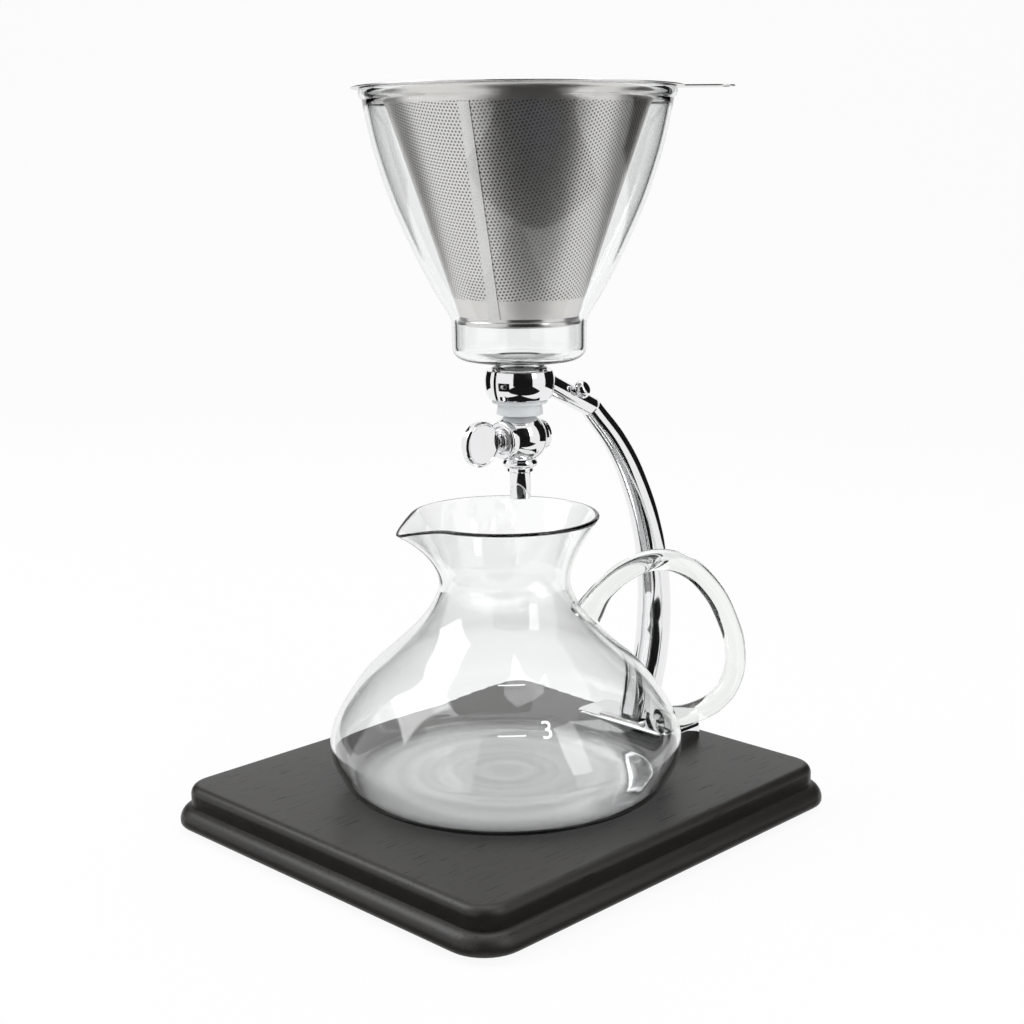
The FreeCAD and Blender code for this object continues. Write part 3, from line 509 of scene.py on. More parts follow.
def makeFeet():
    profile = roundedCorners([
        (feet["dish"], 0, 0.3), (feet["radius"] - 0.6, 0, 0.5), (feet["radius"], feet["high"], 0),
        (0, feet["high"], 0), (0, feet["dishDeep"], 0), (feet["dish"], feet["dishDeep"], 0.2)])
    for side in (-1, 1):
        for end in (-1, 1):
            place = Vector((side * (board["wide"] / 2 - feet["inX"]),
                            end * (board["deep"] / 2 - feet["inY"]), 0)) * mm
            name = "foot" + ("Left" if side < 0 else "Right") + ("Front" if end < 0 else "Back")
            foot = turned(name, profile, place, 40)
            keep(foot, footRubber, "stand", "foot_rubber", "base_feet")


makeFeet()
print("board done")


arm = dict(footY=80.0, tailY=44.69, tailZ=158.76, plateHigh=7.0, footRadius=8.2, tailRadius=4.9,
           plateWide=58.0, plateDeep=26.0, badgeWide=28.0, badgeDeep=2.9, badgeHigh=0.8,
           plateCorner=5, plateEdge=1.5, badgeIn=1.5, badgeCorner=0.8, badgeEdge=0.2, endEdge=0.35,
           line=((0, 0, 0), (0.12, 0.09, 0), (0.24, 0.19, 0.02), (0.30, 0.31, 0.05),
                 (0.27, 0.455, 0.2), (0.13, 0.60, 0.4), (-0.12, 0.74, 0.6), (-0.47, 0.87, 0.8),
                 (-1, 1, 1)))


def makeArm():
    route, radii = [], []
    for back, climb, thin in arm["line"]:
        y = arm["footY"] + back * (arm["footY"] - arm["tailY"])
        z = arm["plateHigh"] + climb * (arm["tailZ"] - arm["plateHigh"])
        route.append(tower + Vector((0, y, z)) * mm)
        radii.append(arm["footRadius"] + thin * (arm["tailRadius"] - arm["footRadius"]))
    rod = bentRod("arm", route, radii, 14, 12)
    applyTo(rod, "BEVEL", width=arm["endEdge"] * mm, segments=3, limit_method="ANGLE",
            angle_limit=math.radians(60))
    keep(rod, chrome, "stand", "chrome", "arm")
    half = Vector((arm["plateWide"] / 2, arm["plateDeep"] / 2, 0))
    low = tower + Vector((-half.x, arm["footY"] - half.y, 0)) * mm
    high = tower + Vector((half.x, arm["footY"] + half.y, arm["plateHigh"])) * mm
    plate = slab("armPlate", low, high)
    bevelEdges(plate, lambda a, b: abs(a.z - b.z) > mm, arm["plateCorner"] * mm, 8)
    bevelEdges(plate, lambda a, b: min(a.z, b.z) > high.z - 1e-5, arm["plateEdge"] * mm, 5)
    keep(plate, chrome, "stand", "chrome", "arm_base")
    front = tower.y + (arm["footY"] - arm["plateDeep"] / 2 + arm["badgeIn"]) * mm
    badgeLow = Vector((tower.x - arm["badgeWide"] / 2 * mm, front, high.z))
    badgeHigh = badgeLow + Vector((arm["badgeWide"], arm["badgeDeep"], arm["badgeHigh"])) * mm
    badge = slab("bareBadge", badgeLow, badgeHigh)
    bevelEdges(badge, lambda a, b: abs(a.z - b.z) > 0.1 * mm, arm["badgeCorner"] * mm, 4)
    bevelEdges(badge, lambda a, b: min(a.z, b.z) > badgeHigh.z - 1e-5, arm["badgeEdge"] * mm,
               2)
    keep(badge, satinSteel, "stand", "badge_steel", "base_badge")


makeArm()
print("arm done")


collar = dict(low=167.3, high=179.5, bore=10.7, middle=173.4, tailRoot=12.6, tailStart=14.0,
              tailLong=34.0, tailRound=0.35, tailRadius=4.6, lean=25.5, slit=1.4, notchFrom=1.9,
              notchWide=5.0, notchHigh=3.4, notchIn=11.2, clampHead=1.3, clampLong=1.6,
              clampKey=0.75, clampY=-12.8, thumbAlong=19.5, thumbTurn=30.0, thumbHead=3.9,
              thumbLong=4.6, thumbStem=1.6, thumbFrom=2.7,
              barrel=((13.5, 0.3), (14.45, 3), (14.9, 6.3), (14.8, 9.2), (14.25, 11.9)))


def makeCollar():
    low, high, bore = collar["low"], collar["high"], collar["bore"]
    barrel = smoothRun([(radius, low + up) for radius, up in collar["barrel"]], 4)
    outline = [Vector((bore, low)), Vector((13.1, low))] + barrel + [
        Vector((13.9, high)), Vector((bore + 0.3, high)), Vector((bore, high - 0.3))]
    ring = turned("collar", outline, tower, 112)
    lean = math.radians(collar["lean"])
    downBack = Vector((0, math.cos(lean), -math.sin(lean)))
    hub = tower + Vector((0, collar["tailStart"], collar["middle"])) * mm
    root = (collar["tailRoot"] - collar["tailStart"]) / math.cos(lean)
    end = collar["tailLong"] - 0.05
    tail = turned("tail", roundedCorners([(0, root, 0), (collar["tailRadius"], root, 0),
                                          (collar["tailRadius"], end, collar["tailRound"]),
                                          (0, end, 0)]), origin, 48)
    placed(tail, hub, downBack)
    combine(ring, tail, "UNION")
    well = turned("well", [Vector((0, low - 5)), Vector((bore, low - 5)),
                           Vector((bore, high + 5)), Vector((0, high + 5))], tower, 112)
    combine(ring, well, "DIFFERENCE")
    slit = slab("slit", tower + Vector((-collar["slit"] / 2, -30, low - 5)) * mm,
                tower + Vector((collar["slit"] / 2, -5, high + 5)) * mm)
    combine(ring, slit, "DIFFERENCE")
    halfNotch = collar["notchHigh"] / 2
    notchLow = Vector((collar["notchFrom"], -30, collar["middle"] - halfNotch))
    notchHigh = Vector((collar["notchFrom"] + collar["notchWide"], -collar["notchIn"],
                        collar["middle"] + halfNotch))
    notch = slab("notch", tower + notchLow * mm, tower + notchHigh * mm)
    combine(ring, notch, "DIFFERENCE")
    keep(ring, chrome, "bracket", "chrome", "collar", sharp=28)


def makeClampScrew():
    head = roundedCorners([(0, 0, 0), (collar["clampHead"], 0, 0.15),
                           (collar["clampHead"], collar["clampLong"], 0.3),
                           (collar["clampKey"], collar["clampLong"], 0),
                           (collar["clampKey"], collar["clampLong"] / 2, 0),
                           (0, collar["clampLong"] / 2, 0)])
    screw = turned("clampScrew", head, origin, 32)
    place = tower + Vector((collar["notchFrom"] + 0.3, collar["clampY"], collar["middle"])) * mm
    placed(screw, place, alongX)
    keep(screw, screwSteel, "bracket", "screw_steel", "clamp_screw")


def makeThumbScrew():
    lean, up = math.radians(collar["lean"]), math.radians(collar["thumbTurn"])
    way = Vector((math.cos(up), math.sin(up) * math.sin(lean), math.sin(up) * math.cos(lean)))
    along = collar["thumbAlong"]
    place = tower + Vector((0, collar["tailStart"] + along * math.cos(lean),
                            collar["middle"] - along * math.sin(lean))) * mm
    seat, top = collar["tailRadius"] + 0.3, collar["tailRadius"] + 0.3 + collar["thumbLong"]
    stem, head = collar["thumbStem"], collar["thumbHead"]
    dome = smoothRun([(head - 0.9, seat), (head, seat + 1.0), (head, top - 1.9),
                      (head * 0.72, top - 0.45), (head * 0.35, top - 0.08), (0, top)], 5)
    foot = collar["thumbFrom"]
    outline = [Vector((0, foot)), Vector((stem, foot)), Vector((stem, seat - 0.25)),
               Vector((stem + 0.9, seat))] + dome
    screw = turned("thumbScrew", outline, origin, 56)
    placed(screw, place, way)
    keep(screw, chrome, "thumb", "chrome", "thumb_screw", sharp=40)


makeCollar()
makeClampScrew()
makeThumbScrew()
print("collar done")


funnel = dict(wall=2.2, neck=10.4, neckWall=1.8, lip=11.8, low=167.3, seat=179.5, floor=183.7,
              chamber=28.4, chamberRound=6.0, chamberHigh=12.5,
              cone=((28.4, 196.2), (28.7, 200.6), (30.6, 204.6), (34.3, 210.5), (38.4, 218),
                    (45.5, 232.5), (53.0, 250), (59.4, 270), (63.2, 287.5)),
              bead=((63.5, 289.6), (64.7, 291.2), (65.0, 292.8), (64.6, 294.1), (63.3, 294.5),
                    (61.9, 294.0), (61.1, 292.4), (61.1, 290.4)))


def makeFunnel():
    seat, floor, chamber = funnel["seat"], funnel["floor"], funnel["chamber"]
    neck, wall, lip = funnel["neck"], funnel["wall"], funnel["lip"]
    outside = roundedCorners([(neck + 1.2, floor, 0), (chamber, floor, funnel["chamberRound"]),
                              (chamber, floor + funnel["chamberHigh"], 0)], closed=False, steps=8)
    outside = outside + smoothRun(funnel["cone"], 5)[1:]
    inside = setIn(outside, wall)
    bead = smoothRun(funnel["bead"], 4)
    inside = [point for point in inside if point.x > neck + 1.5]
    outline = roundedCorners([
        (neck - funnel["neckWall"], 181.6 + wall + 1.5, 1.6),
        (neck - funnel["neckWall"], funnel["low"], 0.5), (neck, funnel["low"], 0.5),
        (neck, seat, 0), (lip - 0.2, seat, 0.1), (lip, seat + 0.8, 0.55), (neck, seat + 1.5, 0.5),
        (neck, floor - 0.4, 0)], closed=False)
    glass = turned("funnelGlass", outline + outside + bead + inside[::-1], tower, 144)
    keep(glass, blownGlass, "funnel", "clear_glass", "funnel_glass", sharp=50)


makeFunnel()
print("funnel done")


cone = dict(low=203.0, top=294.5, lowRadius=25.2, topRadius=56.3, sheet=0.5, flange=68.0,
            tabReach=88.4, tabWide=18.0, tabTurn=44.0, slotReach=85.0, slotWide=2.6,
            slotLong=9.0, ringLow=199.0, ringRadius=25.7, seamTurn=-68.0)


def rollOut(piece):
    # lays the cone's sheet flat in its UV map, in metres, with the ends of the sheet at the seam
    spread = (cone["topRadius"] - cone["lowRadius"]) / (cone["top"] - cone["low"])
    leanOut = math.atan(spread)
    apex = boardTop + (cone["low"] - cone["lowRadius"] / spread) * mm
    middle = math.radians(cone["seamTurn"] + 180)
    mesh = piece.data
    sheet = mesh.uv_layers.new(name="sheet")

    def around(place):
        angle = math.atan2(place.y - tower.y, place.x - tower.x) - middle
        return (angle + math.pi) % (2 * math.pi) - math.pi

    for face in mesh.polygons:
        centre = around(face.center)
        for loop in face.loop_indices:
            place = mesh.vertices[mesh.loops[loop].vertex_index].co
            angle = around(place)
            if abs(angle - centre) > math.pi:
                angle += math.copysign(2 * math.pi, centre)
            slant = (place.z - apex) / math.cos(leanOut)
            flat = angle * math.sin(leanOut)
            sheet.data[loop].uv = (slant * math.sin(flat), slant * math.cos(flat))


def makeCone():
    low, top, sheet = cone["low"], cone["top"], cone["sheet"]
    spread = (cone["topRadius"] - cone["lowRadius"]) / (top - low)
    levels = [low + (top - low) * step / 12 for step in range(13)]
    outer = [Vector((cone["lowRadius"] + (z - low) * spread, z)) for z in levels]
    inner = [point - Vector((sheet, 0)) for point in outer]
    body = turned("filterCone", outer + inner[::-1], tower, 180)
    rollOut(body)
    keep(body, coneSteel, "filter", "filter_mesh", "filter_cone")


def makeFlange():
    thick = cone["sheet"]
    flange = turned("filterFlange", roundedCorners([
        (0, 0, 0), (cone["flange"], 0, 0.2), (cone["flange"], thick, 0.2), (0, thick, 0)]),
        origin, 144)
    half = cone["tabWide"] / 2
    tab = slab("tab", Vector((50, -half, 0)) * mm, Vector((cone["tabReach"], half, thick)) * mm)
    reach = cone["tabReach"] * mm
    bevelEdges(tab, lambda a, b: abs(a.z - b.z) > 0.1 * mm and a.x > reach - 1e-4,
               cone["tabWide"] / 2.2 * mm, 12)
    combine(flange, tab, "UNION")
    slotLow = Vector((cone["slotReach"] - cone["slotWide"] / 2, -cone["slotLong"] / 2, -1))
    slotHigh = Vector((cone["slotReach"] + cone["slotWide"] / 2, cone["slotLong"] / 2, 2))
    slot = slab("slot", slotLow * mm, slotHigh * mm)
    bevelEdges(slot, lambda a, b: abs(a.z - b.z) > mm, 1.1 * mm, 6)
    combine(flange, slot, "DIFFERENCE")
    hole = turned("hole", [Vector((0, -2)), Vector((cone["topRadius"] - thick, -2)),
                           Vector((cone["topRadius"] - thick, 3)), Vector((0, 3))], origin, 144)
    combine(flange, hole, "DIFFERENCE")
    makeActive(flange)
    flange.rotation_euler.z = math.radians(cone["tabTurn"])
    flange.location = tower + Vector((0, 0, cone["top"])) * mm
    keep(flange, satinSteel, "filter", "filter_steel", "filter_rim")


def makeFilterFoot():
    low, ring = cone["ringLow"], cone["ringRadius"]
    bead = smoothRun([(ring - 0.7, low + 0.05), (ring - 0.1, low + 0.5), (ring, low + 1.3),
                      (ring - 0.1, low + 2.2), (ring - 0.45, low + 2.7)], 4)
    foot = turned("filterFoot", [Vector((ring - 3.9, low)), Vector((ring - 1.2, low))] + bead + [
        Vector((ring - 0.45, low + 4.0)), Vector((ring - 1.7, low + 4.0)),
        Vector((ring - 1.7, low + 0.5)), Vector((ring - 3.9, low + 0.5))], tower, 120)
    keep(foot, satinSteel, "filter", "filter_steel", "filter_base_ring")


makeCone()
makeFlange()
makeFilterFoot()
print("filter done")


stopper = dict(outline=(
    (3.4, 176.2, 0.2), (8.55, 176.2, 0.6), (8.55, 167.3, 0), (11.75, 167.3, 0.4),
    (11.75, 165.3, 0.5), (9.3, 165.3, 0.5), (10.0, 160.4, 0.5), (6.2, 160.4, 0.3),
    (3.4, 162.4, 0)))
tap = dict(ball=11.6, ballZ=150.3, inlet=3.35, ringRadius=7.5, ringThick=4.0, ringZ=139.6,
           socket=5.6, socketLow=135.8, tube=4.5, tubeWall=0.9, tubeLow=124.2, boss=8.0,
           bossReach=11.6, nut=5.0, nutThick=2.0, spindle=2.4, tenon=1.3, tenonLong=5.0,
           cap=7.0, capFrom=10.4, capThick=2.4, capSlot=1.2, paddle=9.6, paddleThick=4.2,
           paddleFrom=14.0, bore=2.2, inletTop=172.8, seatDeep=3.4, backRadius=7.6,
           plugBore=4.55)


def makeStopper():
    piece = turned("stopper", roundedCorners(stopper["outline"]), tower, 80)
    keep(piece, silicone, "tap", "silicone", "stopper")


def makeTapBody():
    ball, z, bore = tap["ball"], tap["ballZ"], tap["bore"]
    fromTop, toFoot = math.radians(17), math.radians(152)
    arc = [Vector((ball * math.sin(fromTop + (toFoot - fromTop) * step / 40),
                   z + ball * math.cos(fromTop + (toFoot - fromTop) * step / 40)))
           for step in range(41)]
    half = tap["ringThick"] / 2
    ringMiddle = tap["ringRadius"] - half
    ring = [Vector((ringMiddle + half * math.sin(math.radians(angle)),
                    tap["ringZ"] + half * math.cos(math.radians(angle))))
            for angle in range(30, 151, 10)]
    socket, low, tube = tap["socket"], tap["socketLow"], tap["tube"]
    seat = low + tap["seatDeep"]
    outline = [Vector((bore, tap["inletTop"])), Vector((tap["inlet"], tap["inletTop"])),
               Vector((tap["inlet"], z + ball * math.cos(fromTop)))] + arc + ring + [
        Vector((socket, tap["ringZ"] - half - 0.2)), Vector((socket, low + 0.3)),
        Vector((socket - 0.3, low)), Vector((tube + 0.05, low)), Vector((tube + 0.05, seat)),
        Vector((bore, seat))]
    body = turned("tapBody", outline, tower, 96)
    boss = turned("boss", roundedCorners([
        (0, 0, 0), (tap["boss"], 0, 0), (tap["boss"], tap["bossReach"], 0.7),
        (tap["nut"] + 0.9, tap["bossReach"], 0.3), (tap["nut"] + 0.6, tap["bossReach"] - 0.8, 0),
        (0, tap["bossReach"] - 0.8, 0)]), origin, 64)
    placed(boss, tower + Vector((0, 0, z)) * mm, -alongY)
    combine(body, boss, "UNION")
    back = turned("back", roundedCorners([(0, 0, 0), (tap["backRadius"], 0, 0),
                                          (tap["backRadius"], tap["capFrom"], 0.4),
                                          (0, tap["capFrom"], 0)]), origin, 64)
    placed(back, tower + Vector((0, 0, z)) * mm, alongY)
    combine(body, back, "UNION")
    trim = slab("trim", tower + Vector((-20, tap["capFrom"], 130)) * mm,
                tower + Vector((20, 30, 170)) * mm)
    combine(body, trim, "DIFFERENCE")
    drill = turned("drill", [Vector((0, -30)), Vector((tap["plugBore"], -30)),
                             Vector((tap["plugBore"], 30)), Vector((0, 30))], origin, 64)
    placed(drill, tower + Vector((0, 0, z)) * mm, alongY)
    combine(body, drill, "DIFFERENCE")
    keep(body, chrome, "tap", "chrome", "tap_body", sharp=28)


def makeTapTrim():
    low = tap["tubeLow"]
    tube = turned("outletTube", roundedCorners([
        (tap["tube"] - tap["tubeWall"], low, 0.25), (tap["tube"], low, 0.35),
        (tap["tube"], tap["socketLow"] + tap["seatDeep"], 0),
        (tap["tube"] - tap["tubeWall"], tap["socketLow"] + tap["seatDeep"], 0)]), tower, 56)
    keep(tube, chrome, "tap", "chrome", "outlet_tube")
    axis = tower + Vector((0, 0, tap["ballZ"])) * mm
    nutFrom = tap["bossReach"]
    nut = turned("packingNut", roundedCorners([
        (tap["spindle"] + 0.05, nutFrom, 0), (tap["nut"], nutFrom, 0),
        (tap["nut"], nutFrom + tap["nutThick"], 0.45),
        (tap["spindle"] + 0.05, nutFrom + tap["nutThick"], 0.2)]), origin, 48)
    placed(nut, axis, -alongY)
    keep(nut, chrome, "tap", "chrome", "packing_nut")
    capFrom, capTo = tap["capFrom"], tap["capFrom"] + tap["capThick"]
    cap = turned("backCap", roundedCorners([
        (0, capFrom, 0), (tap["cap"], capFrom, 0.2), (tap["cap"], capTo, 0.6), (0, capTo, 0)]),
        origin, 64)
    placed(cap, axis, alongY)
    half = tap["capSlot"] / 2
    slot = slab("capSlot", axis + Vector((-20, capTo - 1.0, -half)) * mm,
                axis + Vector((20, capTo + 5, half)) * mm)
    combine(cap, slot, "DIFFERENCE")
    keep(cap, chrome, "tap", "chrome", "back_cap")


def makeValve():
    axis = tower + Vector((0, 0, tap["ballZ"])) * mm
    rod, tenon, end = tap["spindle"], tap["tenon"], tap["paddleFrom"]
    spindle = turned("spindle", roundedCorners([
        (0, 9.4, 0), (rod, 9.4, 0), (rod, end, 0.3), (tenon, end, 0),
        (tenon, end + tap["tenonLong"], 0.2), (0, end + tap["tenonLong"], 0)]), origin, 40)
    placed(spindle, axis, -alongY)
    keep(spindle, chrome, "valve", "chrome", "valve_spindle")
    half, disc = tap["paddleThick"] / 2, tap["paddle"]
    paddle = turned("paddle", roundedCorners([
        (0, -half + 0.25, 0), (disc - 1.6, -half + 0.25, 0), (disc - 1.25, -half, 0.15),
        (disc - 0.8, -half, 0.3), (disc, -half + 0.8, 0.3), (disc, half - 0.8, 0.3),
        (disc - 0.8, half, 0.3), (disc - 1.25, half, 0.15), (disc - 1.6, half - 0.25, 0),
        (0, half - 0.25, 0)]), origin, 72)
    placed(paddle, axis + Vector((0, -end - disc, 0)) * mm, alongX)
    tenonHole = turned("tenonHole", [Vector((0, 0)), Vector((tenon + 0.05, 0)),
                                     Vector((tenon + 0.05, 5.5)), Vector((0, 5.5))], origin, 32)
    placed(tenonHole, axis + Vector((0, -end + 0.01, 0)) * mm, -alongY)
    combine(paddle, tenonHole, "DIFFERENCE")
    keep(paddle, chrome, "valve", "chrome", "valve_paddle")


makeStopper()
makeTapBody()
makeTapTrim()
makeValve()
print("tap done")


carafe = dict(offY=-10.0, wall=2.0, top=118.0, spoutTurn=245.0, spoutLean=35.4, spoutFrom=84.0,
              spoutDrop=5.0, mouth=41.0, handleTurn=65.0, handleRadius=4.75,
              outline=((66.0, 0.6), (69.9, 3.2), (73.4, 8.6), (76.4, 17.5), (74.9, 27),
                       (68.6, 38.5), (59.6, 50.5), (46.9, 62), (35.2, 74), (29.4, 84),
                       (28.1, 91.5), (30.6, 100.5), (35.0, 109), (40.4, 117.2)),
              handle=((38.4, 70.6), (46, 80.5), (58, 88.8), (72, 92), (86, 88), (98, 77.5),
                      (107, 62.5), (112, 46), (110.5, 32.5), (103, 23), (90, 18.3),
                      (75.9, 16.7)))
jug = tower + Vector((0, carafe["offY"], 0)) * mm
# where and how strongly the carafe's floor gets its painted reflection
floorReflectionPatch = dict(high=4.3 * mm, clearFrom=54 * mm, clearTo=67 * mm, step=7.5 * mm, share=0.42)


def carafeGlass():
    # blown glass whose pressed floor gets a painted reflection: a glossy shader mixed in by height
    # and radius, in rippled rings, that gives back the light of the room
    finish = clearGlass("carafeGlass", (0.985, 0.993, 0.988), (1.0, 1.0, 1.0))
    x, y, z = finish.axes(finish.node("ShaderNodeTexCoord", output="Object"))
    x, y = x - jug.x, y - jug.y
    waver = finish.noise(finish.places(), 30, 2) * (4 * mm)
    radius = (x * x + y * y).root() + waver
    ring = finish.noise(finish.node("ShaderNodeCombineXYZ", sockets={
        0: radius / floorReflectionPatch["step"]}), 1.0, 1)
    inside = finish.node("ShaderNodeMapRange", sockets={
        0: radius, 1: floorReflectionPatch["clearFrom"], 2: floorReflectionPatch["clearTo"], 3: 1.0, 4: 0.0})
    onFloor = z < boardTop + floorReflectionPatch["high"]
    # painted reflection: the share of glossy shader on the floor, in rippled rings
    share = onFloor * inside * (floorReflectionPatch["share"] + 0.5 * (ring - 0.5))
    paintedReflection = finish.node("ShaderNodeBsdfGlossy", sockets={
        "Color": (0.93, 0.93, 0.94, 1), "Roughness": 0.1})
    body = Wire(finish, finish.shader.outputs[0])
    mixed = finish.node("ShaderNodeMixShader", sockets={0: share, 1: body, 2: paintedReflection})
    finish.tree.links.new(mixed.socket, finish.tree.nodes["Material Output"].inputs["Surface"])
    return finish.material


def pullSpout(piece):
    # draws the mouth out to a lip on one side
    turn, lean = math.radians(carafe["spoutTurn"]), math.radians(carafe["spoutLean"])
    start, top = carafe["spoutFrom"], carafe["top"]
    for vertex in piece.data.vertices:
        away = vertex.co - jug
        climb = (away.z / mm - start) / (top - start)
        angle = abs((math.atan2(away.y, away.x) - turn + math.pi) % (2 * math.pi) - math.pi)
        if climb <= 0 or angle >= lean:
            continue
        softAngle = math.sqrt(angle ** 2 + 0.06 ** 2)
        pull = carafe["mouth"] * (1 / math.cos(max(lean - softAngle, 0)) - 1) * climb ** 1.9
        share = pull * mm / math.hypot(away.x, away.y)
        vertex.co.x += away.x * share
        vertex.co.y += away.y * share
        vertex.co.z -= carafe["spoutDrop"] * mm * climb ** 3 * (1 - angle / lean) ** 1.6


def makeCarafe():
    wall = carafe["wall"]
    outside = smoothRun(carafe["outline"], 6)
    inside = setIn(outside, wall)
    rim = halfRound(outside[-1], inside[-1])
    floor = [Vector((0, 1.6)), Vector((40, 1.2)), Vector((58, 0.3)), Vector((63.5, 0.0))]
    innerFloor = [Vector((inside[0].x - 2.5, 2.6)), Vector((58, 2.5)), Vector((40, 3.4)),
                  Vector((0, 3.8))]
    keepInside = [point for point in inside[::-1] if point.y > 3.2 or point.x < 60]
    glass = turned("carafeGlass", floor + outside + rim + keepInside + innerFloor, jug, 180,
                   loop=False)
    pullSpout(glass)
    keep(glass, carafeGlass(), "carafe", "clear_glass", "carafe_glass", sharp=60)


def makeHandle():
    turn = math.radians(carafe["handleTurn"])
    outward = Vector((math.cos(turn), math.sin(turn), 0))
    route = [jug + (outward * r + upZ * z) * mm for r, z in carafe["handle"]]
    radii = [carafe["handleRadius"]] * len(route)
    radii[0], radii[-1] = 6.6, 6.2
    handle = bentRod("carafeHandle", route, radii, 10, 8)
    keep(handle, rodGlass, "carafe", "clear_glass", "carafe_handle", sharp=60)


marks = dict(lift=0.06, thick=0.1, stroke=0.5,
             lines=((-42.6, 12.4, 58.7), (-43.2, 9.75, 42.6)),
             numerals=(("4", -27.0, 59.4, 5.6), ("3", -30.8, 43.7, 7.4)))


def surfaceAt(height):
    # radius and slope of the carafe's outside at a height
    outside = smoothRun(carafe["outline"], 6)
    for before, after in zip(outside, outside[1:]):
        if before.y <= height <= after.y:
            way = (after - before).normalized()
            return before.x + way.x / way.y * (height - before.y), way
    return outside[-1].x, Vector((0, 1))


def layOnGlass(piece, angle, height):
    # wraps a flat drawing round the carafe, upright, with its middle at the angle and height
    for vertex in piece.data.vertices:
        across, up = vertex.co.x / mm, vertex.co.y / mm
        steep = surfaceAt(height)[1].y
        z = height + up * steep
        radius, way = surfaceAt(z)
        turn = math.radians(angle) + across / radius
        out = (radius + marks["lift"] * way.y) * mm
        vertex.co = jug + Vector((math.cos(turn) * out, math.sin(turn) * out,
                                  (z - marks["lift"] * way.x) * mm))


def makeMarks():
    drawn = []
    for angle, wide, height in marks["lines"]:
        deselect()
        bpy.ops.mesh.primitive_grid_add(x_subdivisions=24, y_subdivisions=1, size=1)
        line = bpy.context.object
        length = math.radians(wide) * surfaceAt(height)[0]
        line.scale = (length * mm, marks["stroke"] * mm, 1)
        bpy.ops.object.transform_apply(location=True, rotation=True, scale=True)
        layOnGlass(line, angle, height)
        drawn.append(line)
    for numeral, angle, height, tall in marks["numerals"]:
        deselect()
        bpy.ops.object.text_add()
        text = bpy.context.object
        text.data.body = numeral
        text.data.size = tall / 0.7 * mm
        text.data.align_x = text.data.align_y = "CENTER"
        bpy.ops.object.convert(target="MESH")
        figure = bpy.context.object
        layOnGlass(figure, angle, height)
        drawn.append(figure)
    for piece in drawn:
        applyTo(piece, "SOLIDIFY", thickness=marks["thick"] * mm, offset=1.0)
    makeActive(drawn[0])
    for piece in drawn[1:]:
        piece.select_set(True)
    bpy.ops.object.join()
    drawn[0].name = drawn[0].data.name = "carafeMarks"
    # the marks take the white enamel with its painted glow
    keep(drawn[0], glowingEnamel, "carafe", "clear_glass")


makeCarafe()
makeHandle()
makeMarks()
print("carafe done")


plainNodes = dict(foot_screws=screwSteel, arm_bolt=screwSteel, arm_washer=screwSteel,
                  filter_base_mesh=meshSteel, filter_seam=satinSteel, gland_packing=packingWhite,
                  valve_plug=chrome, plug_seals=sealRubber)
for name, material in plainNodes.items():
    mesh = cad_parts[name].data
    mesh.materials.clear()
    mesh.materials.append(material)
print("packed nodes finished")


stage = dict(floorHalf=2.2, wallHigh=2.6, bend=0.9, glow=0.92, sky=0.5)
lamps = dict(
    keyLamp=dict(place=(-0.9, -0.75, 1.25), size=0.9, power=11.0),
    fillLamp=dict(place=(1.25, -0.1, 0.85), size=0.8, power=5.0),
    topLamp=dict(place=(0.0, 0.25, 1.5), size=1.0, power=7.0))
# black cards outside the view, seen in metal and gloss and, all but the two strips, through glass
flags = dict(
    floorFlag=dict(place=(0.668, -0.412, 0.002), size=(1.03, 0.90), tilt=0, turn=-31.7),
    cameraFlag=dict(place=(0.70, -0.48, 0.56), size=(1.05, 1.12), tilt=90, turn=55.5),
    leftFlag=dict(place=(-0.75, -0.08, 0.42), size=(0.48, 1.0), tilt=90, turn=-84),
    rightFlag=dict(place=(0.21, 0.72, 0.42), size=(0.80, 1.0), tilt=90, turn=-16),
    frontStrip=dict(place=(0.03, -0.166, 0.001), size=(0.36, 0.10), tilt=0, turn=0),
    sideStrip=dict(place=(0.154, -0.02, 0.001), size=(0.10, 0.36), tilt=0, turn=0))
camera = dict(place=(0.49105, -0.49547, 0.28491), lens=58.40, turn=44.415, pitch=11.894,
              roll=-0.4394)


def raysThatSee(bench):
    # 1 for the rays that should find white paper: the camera's, and those off metal and glass
    rays = [bench.node("ShaderNodeLightPath", output="Is " + kind + " Ray")
            for kind in ("Camera", "Glossy", "Transmission")]
    return rays[0].highest(rays[1]).highest(rays[2])


def paperMaterial():
    material = bpy.data.materials.new("whitePaper")
    material.use_nodes = True
    bench = Bench(material.node_tree)
    bench.tree.nodes.clear()
    fibre = bench.noise(bench.places(), 300, 3)
    plain = bench.node("ShaderNodeBsdfDiffuse", sockets={
        "Color": bench.blend(fibre, (0.86, 0.86, 0.86), (0.9, 0.9, 0.9))})
    lit = bench.node("ShaderNodeEmission", sockets={"Color": (1, 1, 1, 1), "Strength": 1.0})
    mixed = bench.node("ShaderNodeMixShader", sockets={
        0: raysThatSee(bench) * stage["glow"], 1: plain, 2: lit})
    bench.node("ShaderNodeOutputMaterial", sockets={"Surface": mixed})
    return material


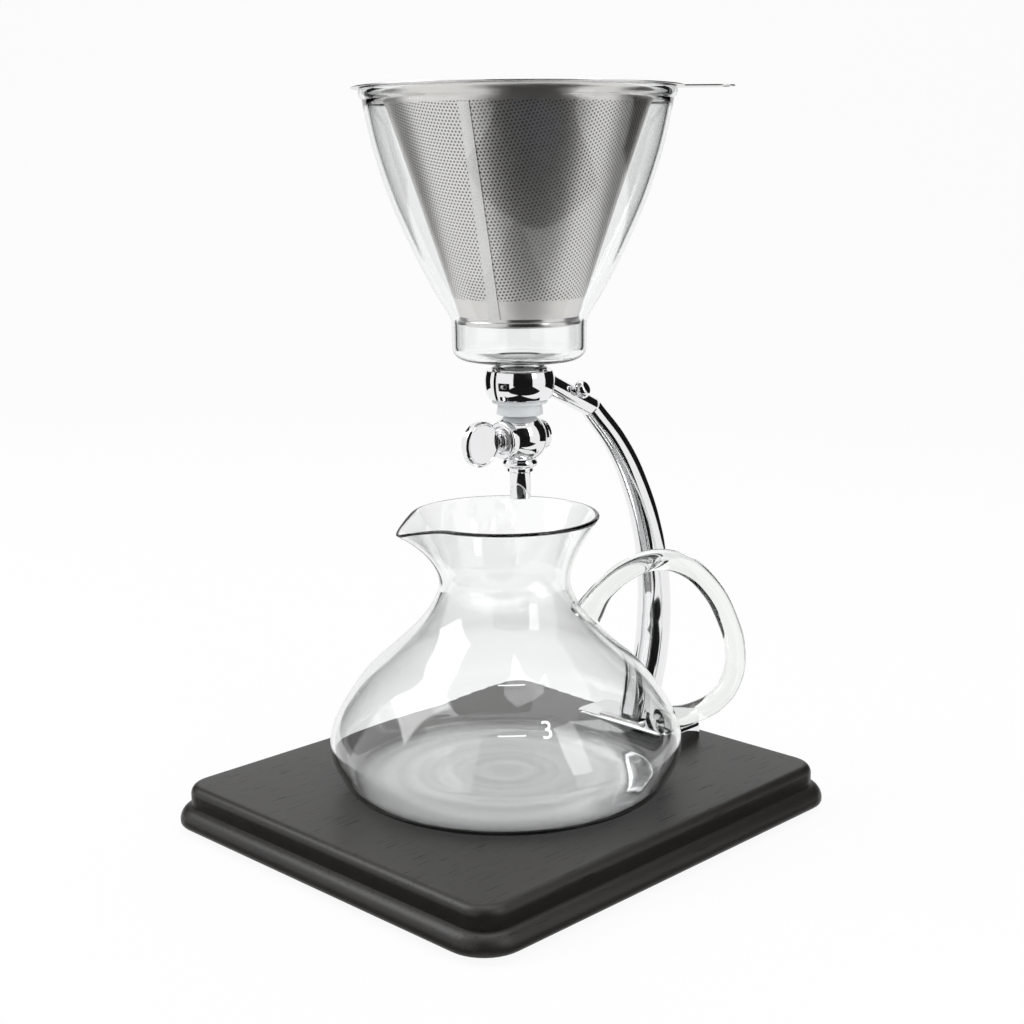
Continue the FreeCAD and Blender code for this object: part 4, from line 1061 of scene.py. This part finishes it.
def makeBackdrop():
    # one sheet of paper: floor, bend and wall behind
    deselect()
    half = stage["floorHalf"]
    bpy.ops.mesh.primitive_plane_add(size=2 * half)
    paper = bpy.context.object
    paper.name = paper.data.name = "paperBackdrop"
    for edge in paper.data.edges:
        edge.select = min(paper.data.vertices[v].co.y for v in edge.vertices) > half - 0.01
    for vertex in paper.data.vertices:
        vertex.select = vertex.co.y > half - 0.01
    for face in paper.data.polygons:
        face.select = False
    bpy.ops.object.mode_set(mode="EDIT")
    bpy.ops.mesh.select_mode(type="EDGE")
    bpy.ops.mesh.extrude_region_move(TRANSFORM_OT_translate={
        "value": (0, 0, stage["wallHigh"])})
    bpy.ops.object.mode_set(mode="OBJECT")
    bevelEdges(paper, lambda a, b: min(a.y, b.y) > half - 0.01 and max(a.z, b.z) < 0.01,
               stage["bend"], 16)
    makeActive(paper)
    paper.rotation_euler.z = math.radians(camera["turn"])
    bpy.ops.object.transform_apply(location=True, rotation=True, scale=True)
    bpy.ops.object.shade_smooth()
    paper.data.materials.append(paperMaterial())


def makeFlags():
    material = bpy.data.materials.new("flagCloth")
    material.use_nodes = True
    bench = Bench(material.node_tree)
    bench.tree.nodes.clear()
    black = bench.node("ShaderNodeBsdfDiffuse", sockets={"Color": (0.01, 0.01, 0.01, 1)})
    bench.node("ShaderNodeOutputMaterial", sockets={"Surface": black})
    for name, card in flags.items():
        deselect()
        bpy.ops.mesh.primitive_plane_add(size=1)
        flag = bpy.context.object
        flag.name = flag.data.name = name
        flag.scale = (*card["size"], 1)
        flag.rotation_euler = (math.radians(card["tilt"]), 0, math.radians(card["turn"]))
        flag.location = card["place"]
        bpy.ops.object.transform_apply(location=True, rotation=True, scale=True)
        flag.data.materials.append(material)
        flag.visible_camera = flag.visible_diffuse = flag.visible_shadow = False
        flag.visible_transmission = not name.endswith("Strip")


def makeLamps():
    for name, lamp in lamps.items():
        deselect()
        bpy.ops.object.light_add(type="AREA", location=lamp["place"])
        light = bpy.context.object
        light.name = name
        light.data.energy = lamp["power"]
        light.data.size = lamp["size"]
        aim = Vector((0, 0, 0.15)) - light.location
        light.rotation_euler = aim.to_track_quat("-Z", "Y").to_euler()
    world = bpy.data.worlds.new("studio")
    bpy.context.scene.world = world
    world.use_nodes = True
    bench = Bench(world.node_tree)
    bench.tree.nodes.clear()
    level = bench.between(raysThatSee(bench), stage["sky"], 1.0)
    sky = bench.node("ShaderNodeBackground", sockets={"Color": (1, 1, 1, 1), "Strength": level})
    bench.node("ShaderNodeOutputWorld", sockets={"Surface": sky})


def makeCamera():
    turn, pitch, roll = (math.radians(camera[name]) for name in ("turn", "pitch", "roll"))
    ahead = Vector((-math.sin(turn) * math.cos(pitch), math.cos(turn) * math.cos(pitch),
                    -math.sin(pitch)))
    right = Vector((math.cos(turn), math.sin(turn), 0))
    up = right.cross(ahead)
    rolledRight = right * math.cos(roll) + up * math.sin(roll)
    rolledUp = up * math.cos(roll) - right * math.sin(roll)
    deselect()
    bpy.ops.object.camera_add(location=camera["place"])
    seen = bpy.context.object
    axes = Matrix((rolledRight, rolledUp, -ahead)).transposed()
    seen.rotation_euler = axes.to_euler()
    seen.data.lens = camera["lens"]
    seen.data.sensor_width = 36
    seen.data.clip_start = 0.01
    bpy.context.scene.camera = seen


makeBackdrop()
makeFlags()
makeLamps()
makeCamera()
bpy.context.scene.view_settings.view_transform = "Standard"
print("stage done")
